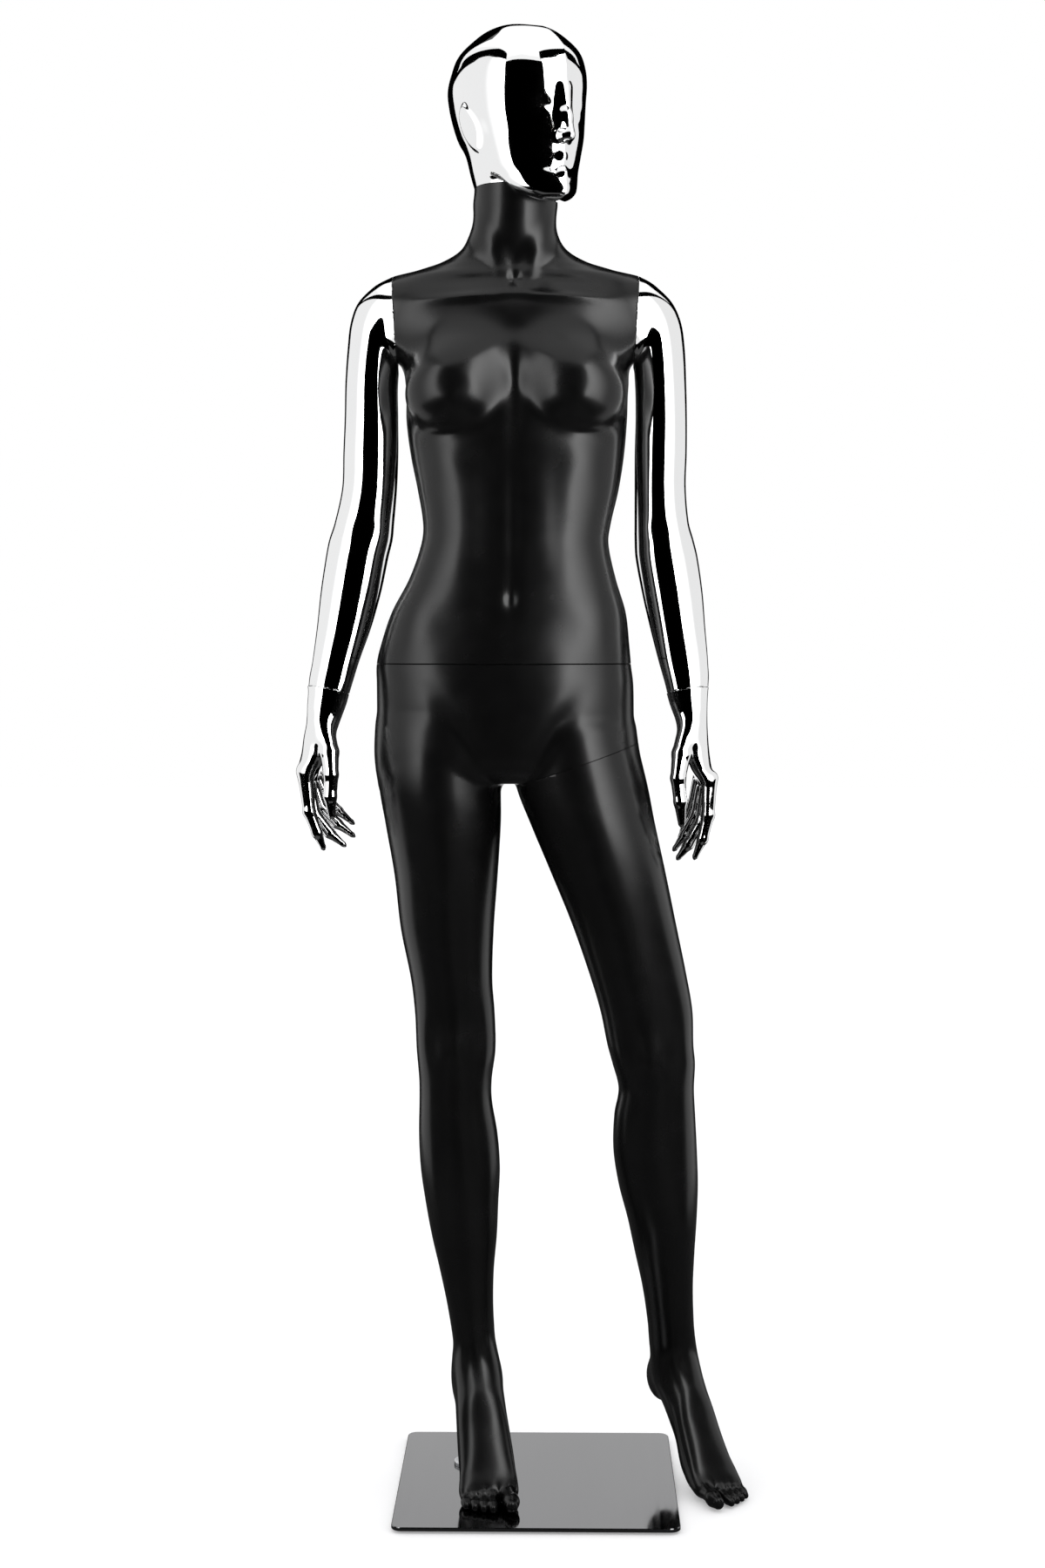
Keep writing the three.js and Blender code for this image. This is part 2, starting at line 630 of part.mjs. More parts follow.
// ---------------------------------------------------------------- base and foot fitting
function basePlate() {
  const { size, thick, corner, bevel, padHeight } = BASE;
  const edge = size / 2 - bevel;
  const outline = new THREE.Shape();
  outline.moveTo(-edge + corner, -edge);
  outline.absarc(edge - corner, -edge + corner, corner, -Math.PI / 2, 0);
  outline.absarc(edge - corner, edge - corner, corner, 0, Math.PI / 2);
  outline.absarc(-edge + corner, edge - corner, corner, Math.PI / 2, Math.PI);
  outline.absarc(-edge + corner, -edge + corner, corner, Math.PI, 1.5 * Math.PI);
  const geometry = new THREE.ExtrudeGeometry(outline, {
    depth: thick - 2 * bevel,
    bevelThickness: bevel,
    bevelSize: bevel,
    bevelSegments: 1,
    curveSegments: 5,
  });
  return solid(geometry).translate([0, 0, padHeight + bevel]).subtract(baseScrew(FIT));
}

// The countersunk screw that holds the rod, driven up from under the plate.
function baseScrew(grow = 0) {
  const low = BASE.padHeight;
  const { head, headHeight, shank, length } = BASE_SCREW;
  const profile = [
    [0, low - grow],
    [head + grow, low - grow],
    [head + grow, low],
    [shank + grow, low + headHeight + grow],
    [shank + grow, low + length + grow],
    [0, low + length + grow],
  ];
  return spun(profile, 16).translate([ROD.x, ROD.y, 0]);
}

const rodPart = (made) => made.translate([ROD.x, ROD.y, 0]);
const rodFlange = () => {
  const ring = disc(ROD.flangeRadius, BASE_TOP + FIT, BASE_TOP + ROD.flangeThick, 28);
  return rodPart(ring.subtract(disc(ROD.radius + FIT, 0, 40)));
};
const supportRod = () => rodPart(disc(ROD.radius, BASE_TOP + FIT, ROD.top)).subtract(baseScrew(FIT));
const socketTube = () => {
  const bore = disc(TUBE.inner, 80, TUBE.top + 1);
  return rodPart(disc(TUBE.outer, TUBE.bottom, TUBE.top).subtract(bore)).subtract(grubScrew(FIT));
};

// The hexagon-socket screw at the back of the ankle, which clamps the rod.
function grubScrew(grow = 0) {
  const { radius, tail, height, key } = GRUB_SCREW;
  const tip = ROD.y + ROD.radius + 0.4;
  const barrel = new THREE.CylinderGeometry(radius + grow, radius + grow, tail - tip + 2 * grow, 12);
  const made = solid(barrel).translate([ROD.x, (tip + tail) / 2, height]);
  if (grow) return made.add(block(8, 20, 8, ROD.x, tail + 6, height)); // the way in for its key
  const socket = new THREE.CylinderGeometry(key, key, 6, 6);
  return made.subtract(solid(socket).translate([ROD.x, tail - 1, height]));
}

function pad(x, y) {
  const reach = BASE.size / 2 - BASE.padInset;
  return disc(BASE.padRadius, 0, BASE.padHeight - 0.05, 16).translate([x * reach, y * reach, 0]);
}

// ---------------------------------------------------------------- materials and assembly
const finish = (color, roughness, metalness) =>
  new THREE.MeshStandardMaterial({ color, roughness, metalness });
const materials = {
  black: finish(0x0b0b0c, 0.38, 0),
  chrome: finish(0xe6e8ea, 0.05, 1),
  mirror: finish(0x77797c, 0.08, 1),
  steel: finish(0x9fa2a6, 0.35, 1),
  rubber: finish(0x1a1a1a, 0.9, 0),
};

const mannequin = new THREE.Group();
mannequin.position.x = CENTRING;
function add(name, made, material, group = mannequin) {
  const mesh = new THREE.Mesh(geometryOf(made), materials[material]);
  mesh.name = name;
  group.add(mesh);
}

add("head_shell", head(), "chrome");
add("torso_shell", torso(), "black");
add("right_arm_shell", arm(-1, RIGHT_ARM, "right_shoulder", "right_wrist"), "chrome");
add("left_arm_shell", arm(1, LEFT_ARM, "left_shoulder", "left_wrist"), "chrome");
add("right_hand", hand(-1, "right_wrist", RIGHT_HAND), "chrome");
add("left_hand", hand(1, "left_wrist", LEFT_HAND), "chrome");
add("pelvis_and_right_leg_shell", pelvisAndRightLeg(), "black");
add("left_leg_shell", leftLeg(), "black");

for (const [name, parts] of Object.entries(fittings)) {
  add(`${name}_stud_plate`, atSeam(parts.stud, name), "steel");
  add(`${name}_socket_plate`, atSeam(parts.socket, name), "steel");
  add(`${name}_cross_pin`, atSeam(parts.pin, name), "steel");
  for (const [side, screws] of Object.entries(parts.screws))
    screws.forEach((screw, i) => add(`${name}_${side}_screw_${i + 1}`, atSeam(screw, name), "steel"));
}

add("base_plate", basePlate(), "mirror");
add("support_rod", supportRod(), "steel");
add("rod_flange", rodFlange(), "steel");
add("base_screw", baseScrew(), "steel");
add("ankle_socket_tube", socketTube(), "steel");
add("ankle_grub_screw", grubScrew(), "steel");
[[-1, -1], [1, -1], [-1, 1], [1, 1]].forEach(([x, y], i) => add(`base_pad_${i + 1}`, pad(x, y), "rubber"));

export default mannequin;
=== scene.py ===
"""Looks of the display mannequin: each moulded shell is one smooth implicit surface, cut at its seams.

Shapes are worked out in millimetres about the centre of the base plate, then moved into the frame in metres.
"""

import math

import bmesh
import bpy
import numpy as np
from mathutils import Matrix, Vector


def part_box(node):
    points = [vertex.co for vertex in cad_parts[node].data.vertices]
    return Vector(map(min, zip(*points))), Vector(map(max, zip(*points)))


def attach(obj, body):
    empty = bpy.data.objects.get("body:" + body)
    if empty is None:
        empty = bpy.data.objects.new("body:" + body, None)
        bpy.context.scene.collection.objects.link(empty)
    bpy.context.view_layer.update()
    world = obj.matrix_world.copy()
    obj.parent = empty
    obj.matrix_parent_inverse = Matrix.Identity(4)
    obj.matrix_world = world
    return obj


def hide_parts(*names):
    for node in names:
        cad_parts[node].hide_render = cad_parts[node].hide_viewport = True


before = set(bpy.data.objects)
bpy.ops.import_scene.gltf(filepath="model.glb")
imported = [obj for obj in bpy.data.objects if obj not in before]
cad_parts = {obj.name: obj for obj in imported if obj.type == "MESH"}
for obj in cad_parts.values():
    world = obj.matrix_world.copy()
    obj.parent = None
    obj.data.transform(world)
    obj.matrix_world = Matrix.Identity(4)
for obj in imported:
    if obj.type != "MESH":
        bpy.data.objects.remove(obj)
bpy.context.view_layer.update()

MM = 0.001
plate_low, plate_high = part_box("base_plate")
CENTRING = (plate_low.x + plate_high.x) / 2 / MM  # the base plate's centre in the frame
SEAM_GAP, CHAMFER = 0.3, 0.7
MIDLINE = -27.0  # the middle of the chest; the figure stands a little to its right of the plate's centre

# ------------------------------------------------------------------ outlines
# Rows of height, left, right, front, back and squareness, which is 2 (an ellipse) where it isn't given.
TORSO = [
    [1010, -205, 121, -96, 112, 2.25], [1045, -205, 120, -95, 100, 2.25], [1068, -200, 118, -94, 90, 2.25],
    [1112, -185, 113, -90, 72, 2.25], [1156, -162, 100, -85, 61, 2.25], [1200, -147, 91, -82, 60, 2.25],
    [1225, -145, 94, -81, 64, 2.25], [1268, -152, 104, -83, 75, 2.25], [1312, -161, 111, -85, 86, 2.25],
    [1357, -167, 115, -84, 95, 2.25], [1401, -168, 117, -82, 101, 2.25], [1430, -176, 122, -79, 103, 2.25],
    [1465, -214, 160, -73, 102, 2.25], [1500, -221, 165, -65, 97, 2.25], [1524, -207, 150, -55, 89, 2.25],
    [1540, -186, 131, -48, 83, 2.25], [1550, -156, 100, -44, 79, 2.1], [1560, -125, 67, -43, 75, 2.1],
    [1574, -100, 41, -45, 68, 2.1], [1592, -88, 28, -50, 59, 2], [1615, -81, 24, -55, 51, 2],
    [1640, -80, 25, -57.5, 47.5, 2], [1680, -80, 25, -57.5, 47.5, 2],
]
PELVIS = [
    [896, -198, 114, -56, 74, 2.25], [912, -203, 122, -76, 94, 2.25], [934, -206, 126, -88, 107, 2.25],
    [977, -205, 124, -94, 112, 2.25], [1022, -205, 123, -96, 108, 2.25], [1045, -205, 120, -95, 100, 2.25],
    [1068, -200, 118, -94, 90, 2.25], [1080, -196, 117, -93, 84, 2.25],
]
RIGHT_LEG = [
    [112, -104, -54, 22, 82], [150, -108, -53, 12, 81], [176, -110, -55, 8, 78], [220, -117, -57, 4, 76],
    [265, -126, -56, -4, 73], [310, -136, -52, -14, 74], [355, -144, -50, -22, 76],
    [399, -150, -48, -29, 77], [443, -152, -51, -34, 72], [488, -151, -58, -36, 60],
    [515, -151, -58, -40, 54], [555, -154, -53, -46, 52], [600, -156, -54, -48, 52],
    [644, -161, -57, -56, 56], [710, -174, -55, -68, 64], [778, -182, -50, -78, 74],
    [845, -194, -46, -84, 86], [890, -202, -46, -86, 98], [940, -204, -44, -84, 108],
    [975, -202, -50, -76, 104],
]
LEFT_LEG = [
    [122, 151, 200, 40, 101], [150, 147, 204, 32, 98], [169, 145, 205, 26, 92], [193, 143, 203, 18, 83],
    [242, 136, 201, 2, 68], [290, 126, 202, -18, 58], [338, 116, 204, -40, 50], [385, 104, 205, -56, 44],
    [432, 97, 203, -69, 34], [479, 98, 200, -80, 18], [513, 103, 198, -88, 6], [546, 95, 199, -97, 4],
    [568, 89, 197, -99, 4], [611, 80, 196, -96, 10], [654, 67, 189, -94, 20], [719, 44, 176, -92, 38],
    [784, 17, 163, -92, 56], [845, -9, 150, -92, 74], [888, -26, 142, -90, 92], [940, -36, 130, -88, 106],
    [975, -38, 124, -80, 102],
]
RIGHT_ARM = [
    [980, -294, -247, -30, 10], [996, -293, -243, -30, 12], [1013, -292, -238, -29, 14],
    [1050, -287, -227, -27, 22],
    [1094, -282, -212, -25, 36], [1139, -278, -200, -22, 49], [1184, -272, -191, -18, 57],
    [1206, -268, -186, -15, 60], [1228, -261, -184, -13, 60], [1273, -251, -180, -16, 56],
    [1318, -249, -178, -22, 52], [1362, -247, -178, -26, 50], [1407, -246, -178, -30, 52],
    [1452, -243, -172, -34, 58], [1485, -239, -160, -34, 60], [1510, -229, -150, -30, 57],
    [1530, -208, -150, -20, 46], [1540, -190, -158, -6, 34],
]
LEFT_ARM = [
    [980, 168, 219, -30, 10], [996, 167, 218, -30, 12], [1013, 165, 218, -29, 14],
    [1050, 155, 218, -27, 22], [1094, 144, 215, -25, 36], [1139, 134, 212, -22, 49],
    [1184, 126, 206, -18, 57], [1206, 125, 201, -15, 60], [1228, 125, 195, -13, 60],
    [1273, 125, 191, -16, 56], [1318, 125, 192, -22, 52], [1362, 126, 192, -26, 50],
    [1407, 125, 191, -30, 52], [1452, 120, 189, -34, 58], [1485, 106, 184, -34, 60],
    [1510, 96, 172, -30, 57],
    [1530, 96, 151, -20, 46], [1540, 104, 136, -6, 34],
]
HEAD = [  # about the neck's axis, facing -Y before it is turned
    [1625, -17, 17, -94, -62], [1632, -31, 31, -102, -30], [1640, -43, 43, -105, 5],
    [1648, -51, 51, -105, 42], [1656, -55, 55, -104, 53], [1669, -61, 61, -101, 57],
    [1691, -67, 67, -103, 63], [1713, -72, 72, -107, 80], [1736, -76, 76, -107, 90],
    [1758, -78, 78, -108, 97], [1780, -79, 79, -110, 100], [1800, -77, 77, -108, 93],
    [1821, -70, 70, -100, 82], [1840, -53, 53, -80, 58], [1850, -39, 39, -62, 39],
    [1855.5, -22, 22, -40, 16], [1857, -9, 9, -22, -2],
]
NECK_AXIS, NECK_RADIUS = (-27.5, -5.0), 52.3
HEAD_TURN = math.radians(40)  # towards the figure's left
# The lower edge of the head, as distances behind the neck's axis and the heights there.
JAW = (
    (-120, -90, -70, -54, -44, -34, -24, -8, 12, 34, 60),
    (1600, 1613, 1623, 1635, 1646, 1656, 1661, 1657, 1642, 1622, 1600),
)
FOOT = [  # distance forward of the heel's centre, left, right, underside, top and squareness
    [-16, -9, 8, 109, 126, 2.2], [-12, -17, 16, 101, 138, 2.2], [0, -22, 21, 93, 146, 2.2],
    [20, -26, 26, 90, 152, 2.2], [50, -29, 32, 71, 151, 2.2], [80, -29, 36, 41, 126, 2.2],
    [106, -28, 41, 17, 91, 2.4], [128, -27, 43, 8.6, 64, 2.4], [142, -28, 44, 7.8, 47, 2.4],
    [152, -27, 43, 8.5, 36, 2.4], [160, -24, 39, 11, 27, 2.4],
]
TOES = [  # across, how far forward its tip is, its radius and how far forward its root is
    (34, 199, 9.8, 142), (11.5, 193, 6.1, 150), (0.5, 189, 5.8, 147), (-10.3, 184, 5.6, 142),
    (-21, 177, 5.5, 137),
]
# Each foot's heel X and Y, turn, lift, width (mirrored when negative) and how far forward the heel is set.
RIGHT_FOOT = (-80, 58, math.radians(5), 0, 1, -7)
LEFT_FOOT = (166, 90, math.radians(27), -7, -0.92, 3)
# Each leg's joints: the middles of its knee cap, calf and ankle.
RIGHT_JOINTS = ((-104, -50, 562), (-100, 78, 400), (-80, 46, 150))
LEFT_JOINTS = ((144, -98, 556), (152, 40, 400), (177, 62, 150))
# Palms hang down from the wrist; fingers are chains of x, y, z and radius, thumb first.
RIGHT_PALM = [
    [-122, -38, -22, -4, 42], [-112, -40, -17, -16, 50], [-96, -40, -8, -19, 47], [-79, -36, 2, -20, 38],
    [-60, -33, 8, -20, 28], [-40, -29, 14, -19, 20], [-18, -28, 22, -20, 19], [0, -27, 27, -21, 21],
    [14, -29, 31, -22, 22], [30, -31, 36, -23, 24],
]
LEFT_PALM = [
    [-126, -37, -20, -4, 42], [-116, -36, -14, -16, 50], [-98, -32, -2, -19, 47], [-79, -29, 6, -20, 38],
    [-58, -27, 9, -20, 28], [-40, -26, 14, -19, 20], [-18, -26, 22, -20, 19], [0, -27, 27, -21, 21],
    [14, -29, 31, -22, 22], [30, -31, 36, -23, 24],
]
RIGHT_FINGERS = [
    [(-8, -6, -40, 14), (2, -20, -78, 12.5), (5, -29, -106, 9.5), (4, -31, -134, 8.5), (6, -29, -157, 5)],
    [(-30, -8, -104, 10), (-24, -12, -154, 8), (-14, -12, -181, 6.6), (-7, -10, -199, 3.6)],
    [(-29, 10, -108, 10), (-20, 10, -158, 8), (0, 10, -183, 6.6), (17, 10, -197, 3.4)],
    [(-28, 28, -106, 9.5), (-14, 28, -150, 7.6), (8, 27, -172, 6.3), (27, 25, -186, 3.2)],
    [(-26, 43, -98, 8.5), (-10, 45, -138, 6.8), (8, 44, -157, 5.8), (25, 42, -171, 3)],
]
LEFT_FINGERS = [
    [(-4, -6, -40, 14), (8, -20, -80, 12.5), (13, -29, -110, 9.5), (10, -31, -140, 8.5), (8, -29, -167, 5)],
    [(-28, -8, -112, 10), (-26, -12, -158, 8), (-19, -12, -188, 6.6), (-10, -10, -210, 3.6)],
    [(-27, 10, -116, 10), (-19, 10, -168, 8), (-2, 10, -197, 6.6), (10, 10, -213, 3.4)],
    [(-24, 28, -112, 9.5), (-14, 28, -160, 7.6), (2, 27, -187, 6.3), (14, 25, -203, 3.2)],
    [(-20, 43, -104, 8.5), (-10, 45, -148, 6.8), (-1, 44, -171, 5.8), (6, 42, -189, 3)],
]

# ------------------------------------------------------------------ seams
# Each has a point, the way its post points, the radii of its plate and post, and the post's length.
TILT = math.radians(3.5)
SEAMS = {
    "neck": ((-27.5, -5, 1652), (0, 0, 1), 30, 9, 34),
    "waist": ((-42, 4, 1047), (0, 0, 1), 45, 11, 40),
    "right_shoulder": ((-181, 12, 1487), (math.cos(TILT), 0, math.sin(TILT)), 27, 8, 30),
    "left_shoulder": ((126.5, 12, 1487), (-math.cos(TILT), 0, math.sin(TILT)), 27, 8, 30),
    "right_wrist": ((-265, -8, 1013), (0.19, 0.14, 0.97), 14, 5, 20),
    "left_wrist": ((191, -8, 1013), (-0.14, 0.14, 0.98), 14, 5, 20),
    "left_leg": ((52, 6, 920.5), (-0.324, 0, 0.946), 40, 10, 34),
}
PLATE_DEPTH, PLATE_ROOM = 4.6, 0.5  # of a fitting's plate, and the clearance round it
POST_ROOM, POST_END = 5.7, 4  # clearance round a post and past its end, so that it can turn and come out
ARMPIT = 1430
SHOULDER_CUT, SHOULDER_REACH = 1405, 60  # the shoulder seams cut only above this and this far from the middle
BUST_APART, BUST_Z = 76, 1384
CROTCH = -32  # the inner end of the left leg's seam
THIGH = 860  # where the hips blend into the legs


# ------------------------------------------------------------------ fields: negative inside, roughly in mm
def curves(rows):
    """Smooth curves through a table's columns, as a function of its first column."""
    table = np.array([list(row) + [2.0] * (6 - len(row)) for row in rows], float)
    knots, values = table[:, 0], table[:, 1:]
    order = np.arange(len(knots))
    before, after = np.maximum(order - 1, 0), np.minimum(order + 1, len(knots) - 1)
    slopes = (values[after] - values[before]) / (knots[after] - knots[before])[:, None]

    def at(t):
        t = np.clip(np.asarray(t, float), knots[0], knots[-1])
        i = np.clip(np.searchsorted(knots, t, side="right") - 1, 0, len(knots) - 2)
        step = knots[i + 1] - knots[i]
        s = (t - knots[i]) / step
        a, b = 2 * s**3 - 3 * s**2 + 1, 3 * s**2 - 2 * s**3
        c, d = (s**3 - 2 * s**2 + s) * step, (s**3 - s**2) * step
        return [
            a * values[i, k] + b * values[i + 1, k] + c * slopes[i, k] + d * slopes[i + 1, k]
            for k in range(5)
        ]

    return at


def smin(a, b, k):
    """The union of two fields, blended over a distance of about k."""
    h = np.maximum(k - np.abs(a - b), 0) / k
    return np.minimum(a, b) - h * h * k / 4


def smax(a, b, k):
    """The overlap of two fields, blended over a distance of about k."""
    return -smin(-a, -b, k)


def ease(t):
    """Goes softly from 0 to 1 as t does."""
    t = np.clip(t, 0, 1)
    return t * t * (3 - 2 * t)


def tube(rows, end=8):
    """The field of a limb whose sections are the rows' rounded outlines."""
    at, low, high = curves(rows), rows[0][0], rows[-1][0]

    def field(x, y, z):
        left, right, front, back, power = at(z)
        dx, dy = x - (left + right) / 2, y - (front + back) / 2
        reach = np.sqrt(dx * dx + dy * dy) + 1e-4
        p, q = np.abs(dx) / ((right - left) / 2), np.abs(dy) / ((back - front) / 2)
        ratio = np.where(power > 2.01, (p**power + q**power) ** (1 / power), np.sqrt(p * p + q * q))
        side = reach - reach / np.maximum(ratio, 1e-6)
        return smax(side, np.abs(z - (low + high) / 2) - (high - low) / 2, end)

    return field


def blob(x, y, z, centre, size):
    """The field of an ellipsoid."""
    p = [(v - c) / s for v, c, s in zip((x, y, z), centre, size)]
    near = np.sqrt(sum(v * v for v in p)) + 1e-6
    far = np.sqrt(sum((v / s) ** 2 for v, s in zip(p, size))) + 1e-9
    return near * (near - 1) / far


def chain(x, y, z, joints, k=3.0):
    """The field of a finger or toe: tapered capsules through joints of x, y, z, radius."""
    best = None
    for (ax, ay, az, ar), (bx, by, bz, br) in zip(joints, joints[1:]):
        ux, uy, uz = bx - ax, by - ay, bz - az
        t = np.clip(((x - ax) * ux + (y - ay) * uy + (z - az) * uz) / (ux * ux + uy * uy + uz * uz), 0, 1)
        d = np.sqrt((x - ax - t * ux) ** 2 + (y - ay - t * uy) ** 2 + (z - az - t * uz) ** 2)
        d = d - (ar + (br - ar) * t)
        best = d if best is None else smin(best, d, k)
    return best


def bump(x, y, z, centre, spread, height):
    """A soft swelling (or dent, with a negative height) to take off a field."""
    return height * np.exp(-sum(((v - c) / s) ** 2 for v, c, s in zip((x, y, z), centre, spread)))


trunk_tube, pelvis_tube = tube(TORSO), tube(PELVIS)
right_leg_tube, left_leg_tube = tube(RIGHT_LEG, 14), tube(LEFT_LEG, 14)
right_arm_tube, left_arm_tube = tube(RIGHT_ARM), tube(LEFT_ARM)
foot_tube = tube(FOOT)  # takes across, up and forward
head_tube, head_rows = tube(HEAD, 3), curves(HEAD)


def trunk(x, y, z):
    """The torso without its shoulders: bust, neck, collar bones, ribs, navel and shoulder blades."""
    f = trunk_tube(x, y, z)
    soft = 14 + 46 * ease((z - 1365) / 90)  # the breasts fade out upwards and crease below
    for side in (-1, 1):
        bust = MIDLINE + side * BUST_APART
        f = smin(f, blob(x, y, z + 0.25 * (y + 50), (bust, -54, BUST_Z), (62, 58, 54)), soft)
        f = f - bump(x, y, z, (bust + side * 6, -112, BUST_Z - 8), (12, 14, 12), 1.2)
        tendon = [(9, -43, 1516, 5), (25, -33, 1568, 5), (40, -8, 1630, 4)]
        f = smin(f, chain(x, y, z, [(MIDLINE + side * tx, *rest) for tx, *rest in tendon]), 20)
        slant = 0.06 * side * (x - MIDLINE)
        f = f - bump(x, y, z + slant, (MIDLINE + side * 60, -56, 1512), (48, 22, 5.5), 4)  # collar bones
        f = f + bump(x, y, z, (MIDLINE + side * 66, -48, 1530), (40, 26, 9), 3.5)
        f = f - bump(x, y, z, (MIDLINE + side * 74, 98, 1445), (34, 24, 52), 6)  # shoulder blades
        f = f - bump(x, y, z, (MIDLINE + side * 92, -76, 1300), (34, 24, 26), 3.2)  # lower ribs
        f = f + bump(x, y, z, (MIDLINE + side * 52, -88, 1235), (16, 26, 70), 1.6)
        f = f - bump(x, y, z, (MIDLINE - 12 + side * 112, -62, 1095), (26, 30, 34), 3.6)  # hip bones
    f = f + bump(x, y, z, (MIDLINE, -50, 1530), (9, 16, 11), 4)  # notch of the neck
    f = f + bump(x, y, z, (MIDLINE, -88, 1385), (11, 26, 52), 3)  # between the breasts
    f = f + bump(x, y, z, (MIDLINE - 2, -88, 1220), (9, 26, 86), 2.2)  # down the belly
    f = f + bump(x, y, z, (MIDLINE - 5, -92, 1128), (7, 15, 11), 4.5)  # navel
    f = f - bump(x, y, z, (MIDLINE - 10, -96, 1078), (60, 24, 34), 3)  # below the navel
    return f + bump(x, y, z, (MIDLINE, 92, 1300), (15, 34, 190), 7)  # hollow of the back


def hips(x, y, z):
    """The pelvis with its buttocks and the folds at the top of the thighs."""
    f = pelvis_tube(x, y, z)
    for side in (-1, 1):
        f = smin(f, blob(x, y, z, (-40 + side * 66, 60, 975), (68, 62, 66)), 22)
        inward = 100 - 74 * ease((1050 - z) / 170)  # the fold between belly and thigh
        f = f + bump(x, y, z, (-36 + side * inward, -92, 950), (17, 34, 50), 4.5)
    return f + bump(x, y, z, (-40, 116, 968), (9, 40, 58), 11)


def leg_shape(f, x, y, z, joints, turn):
    """Adds the knee, calf and ankle bones to a leg's field."""
    c, s = math.cos(turn), math.sin(turn)
    knee, calf, ankle = joints
    kx, ky, kz = knee
    f = f - bump(x, y, z, knee, (22, 22, 24), 4.5)
    f = f + bump(x, y, z, (kx - 26, ky + 10, kz + 6), (11, 20, 30), 2.6)
    f = f + bump(x, y, z, (kx + 26, ky + 10, kz + 6), (11, 20, 30), 2.6)
    f = f + bump(x, y, z, (kx, ky + 98, kz), (20, 24, 40), 3)  # hollow of the knee
    f = f - bump(x, y, z, calf, (40, 30, 80), 3)
    ax, ay, az = ankle
    for side, up in ((-1, 0), (1, 8)):
        f = f - bump(x, y, z, (ax + side * 25 * c, ay + side * 25 * s, az + up), (9, 13, 13), 1)
    return f


def foot(x, y, z, place):
    """A foot on its toes, with its heel raised."""
    hx, hy, turn, lift, flip, heel = place
    c, s = math.cos(turn), math.sin(turn)
    dx, dy = x - hx, y - hy
    across, forward = (c * dx + s * dy) / flip, s * dx - c * dy
    up = z - lift
    f = foot_tube(across, up, forward)
    f = f + bump(across, forward, up, (36, 62, 56), (12, 34, 22), 3)  # arch
    f = smin(f, blob(across, forward, up, (0, heel, 117), (22, 21, 27)), 16)
    toes = None
    for tx, tip, radius, root in TOES:
        high = radius + 7.8
        joints = [
            (tx * 0.82, root - 12, high + 12, radius + 1.2),
            (tx * 0.95, root + 10, high + 5, radius * 0.92),
            (tx, (root + tip) / 2 + 9, high + 1, radius * 0.98),
            (tx, tip - radius * 0.8, high - 0.6, radius * 0.78),
        ]
        toe = chain(across, forward, up, joints, 4)
        nail = (tx, tip - radius * 1.3, high + radius * 0.58)
        toe = smin(toe, blob(across, forward, up, nail, (radius * 0.6, radius * 0.8, 1.4)), 1.6)
        toes = toe if toes is None else smin(toes, toe, 1.2)
    return smin(f, toes, 9)


def right_side(x, y, z):
    """Hips and the standing leg, with the stub of the other thigh."""
    leg = leg_shape(right_leg_tube(x, y, z), x, y, z, RIGHT_JOINTS, RIGHT_FOOT[2])
    leg = smin(leg, foot(x, y, z, RIGHT_FOOT), 20 + 16 * ease((60 - y) / 40))
    stub = left_leg_tube(x, y, z)
    whole = smin(hips(x, y, z), leg, 14)
    return smin(whole, smax(stub, THIGH - z, 6), 8)


def left_side(x, y, z):
    """The free leg, whose top follows the hips."""
    leg = leg_shape(left_leg_tube(x, y, z), x, y, z, LEFT_JOINTS, LEFT_FOOT[2])
    leg = smin(leg, foot(x, y, z, LEFT_FOOT), 20 + 16 * ease((84 - y + 0.5 * (x - 166)) / 40))
    body = smax(smin(hips(x, y, z), right_leg_tube(x, y, z), 14), THIGH - z, 6)
    return smin(leg, smax(body, CROTCH + 1 - x, 4), 8)


def arm_shape(x, y, z, limb, side):
    """Adds the elbow and wrist bones to an arm's field."""
    f = limb(x, y, z)
    elbow = -226 if side < 0 else 163
    f = f - bump(x, y, z, (elbow, 62, 1214), (17, 14, 20), 3)  # point of the elbow
    f = f + bump(x, y, z, (elbow - side * 6, -16, 1218), (22, 12, 14), 1.6)
    wrist = -268 if side < 0 else 195
    return f - bump(x, y, z, (wrist + side * 22, 6, 1030), (9, 12, 12), 2)


def torso(x, y, z):
    """The trunk with the roots of both arms."""
    body = trunk(x, y, z)
    shoulders = smin(right_arm_tube(x, y, z), left_arm_tube(x, y, z), 1)
    joined = smin(body, smax(shoulders, ARMPIT + 10 - z, 10), 16)
    return np.where(z > ARMPIT - 5, joined, body)


def arm(side):
    """The field of one arm, whose top follows the chest."""
    limb = right_arm_tube if side < 0 else left_arm_tube

    def field(x, y, z):
        f = arm_shape(x, y, z, limb, side)
        return np.where(z > ARMPIT - 20, smin(f, smax(trunk_tube(x, y, z), ARMPIT + 4 - z, 10), 16), f)

    return field


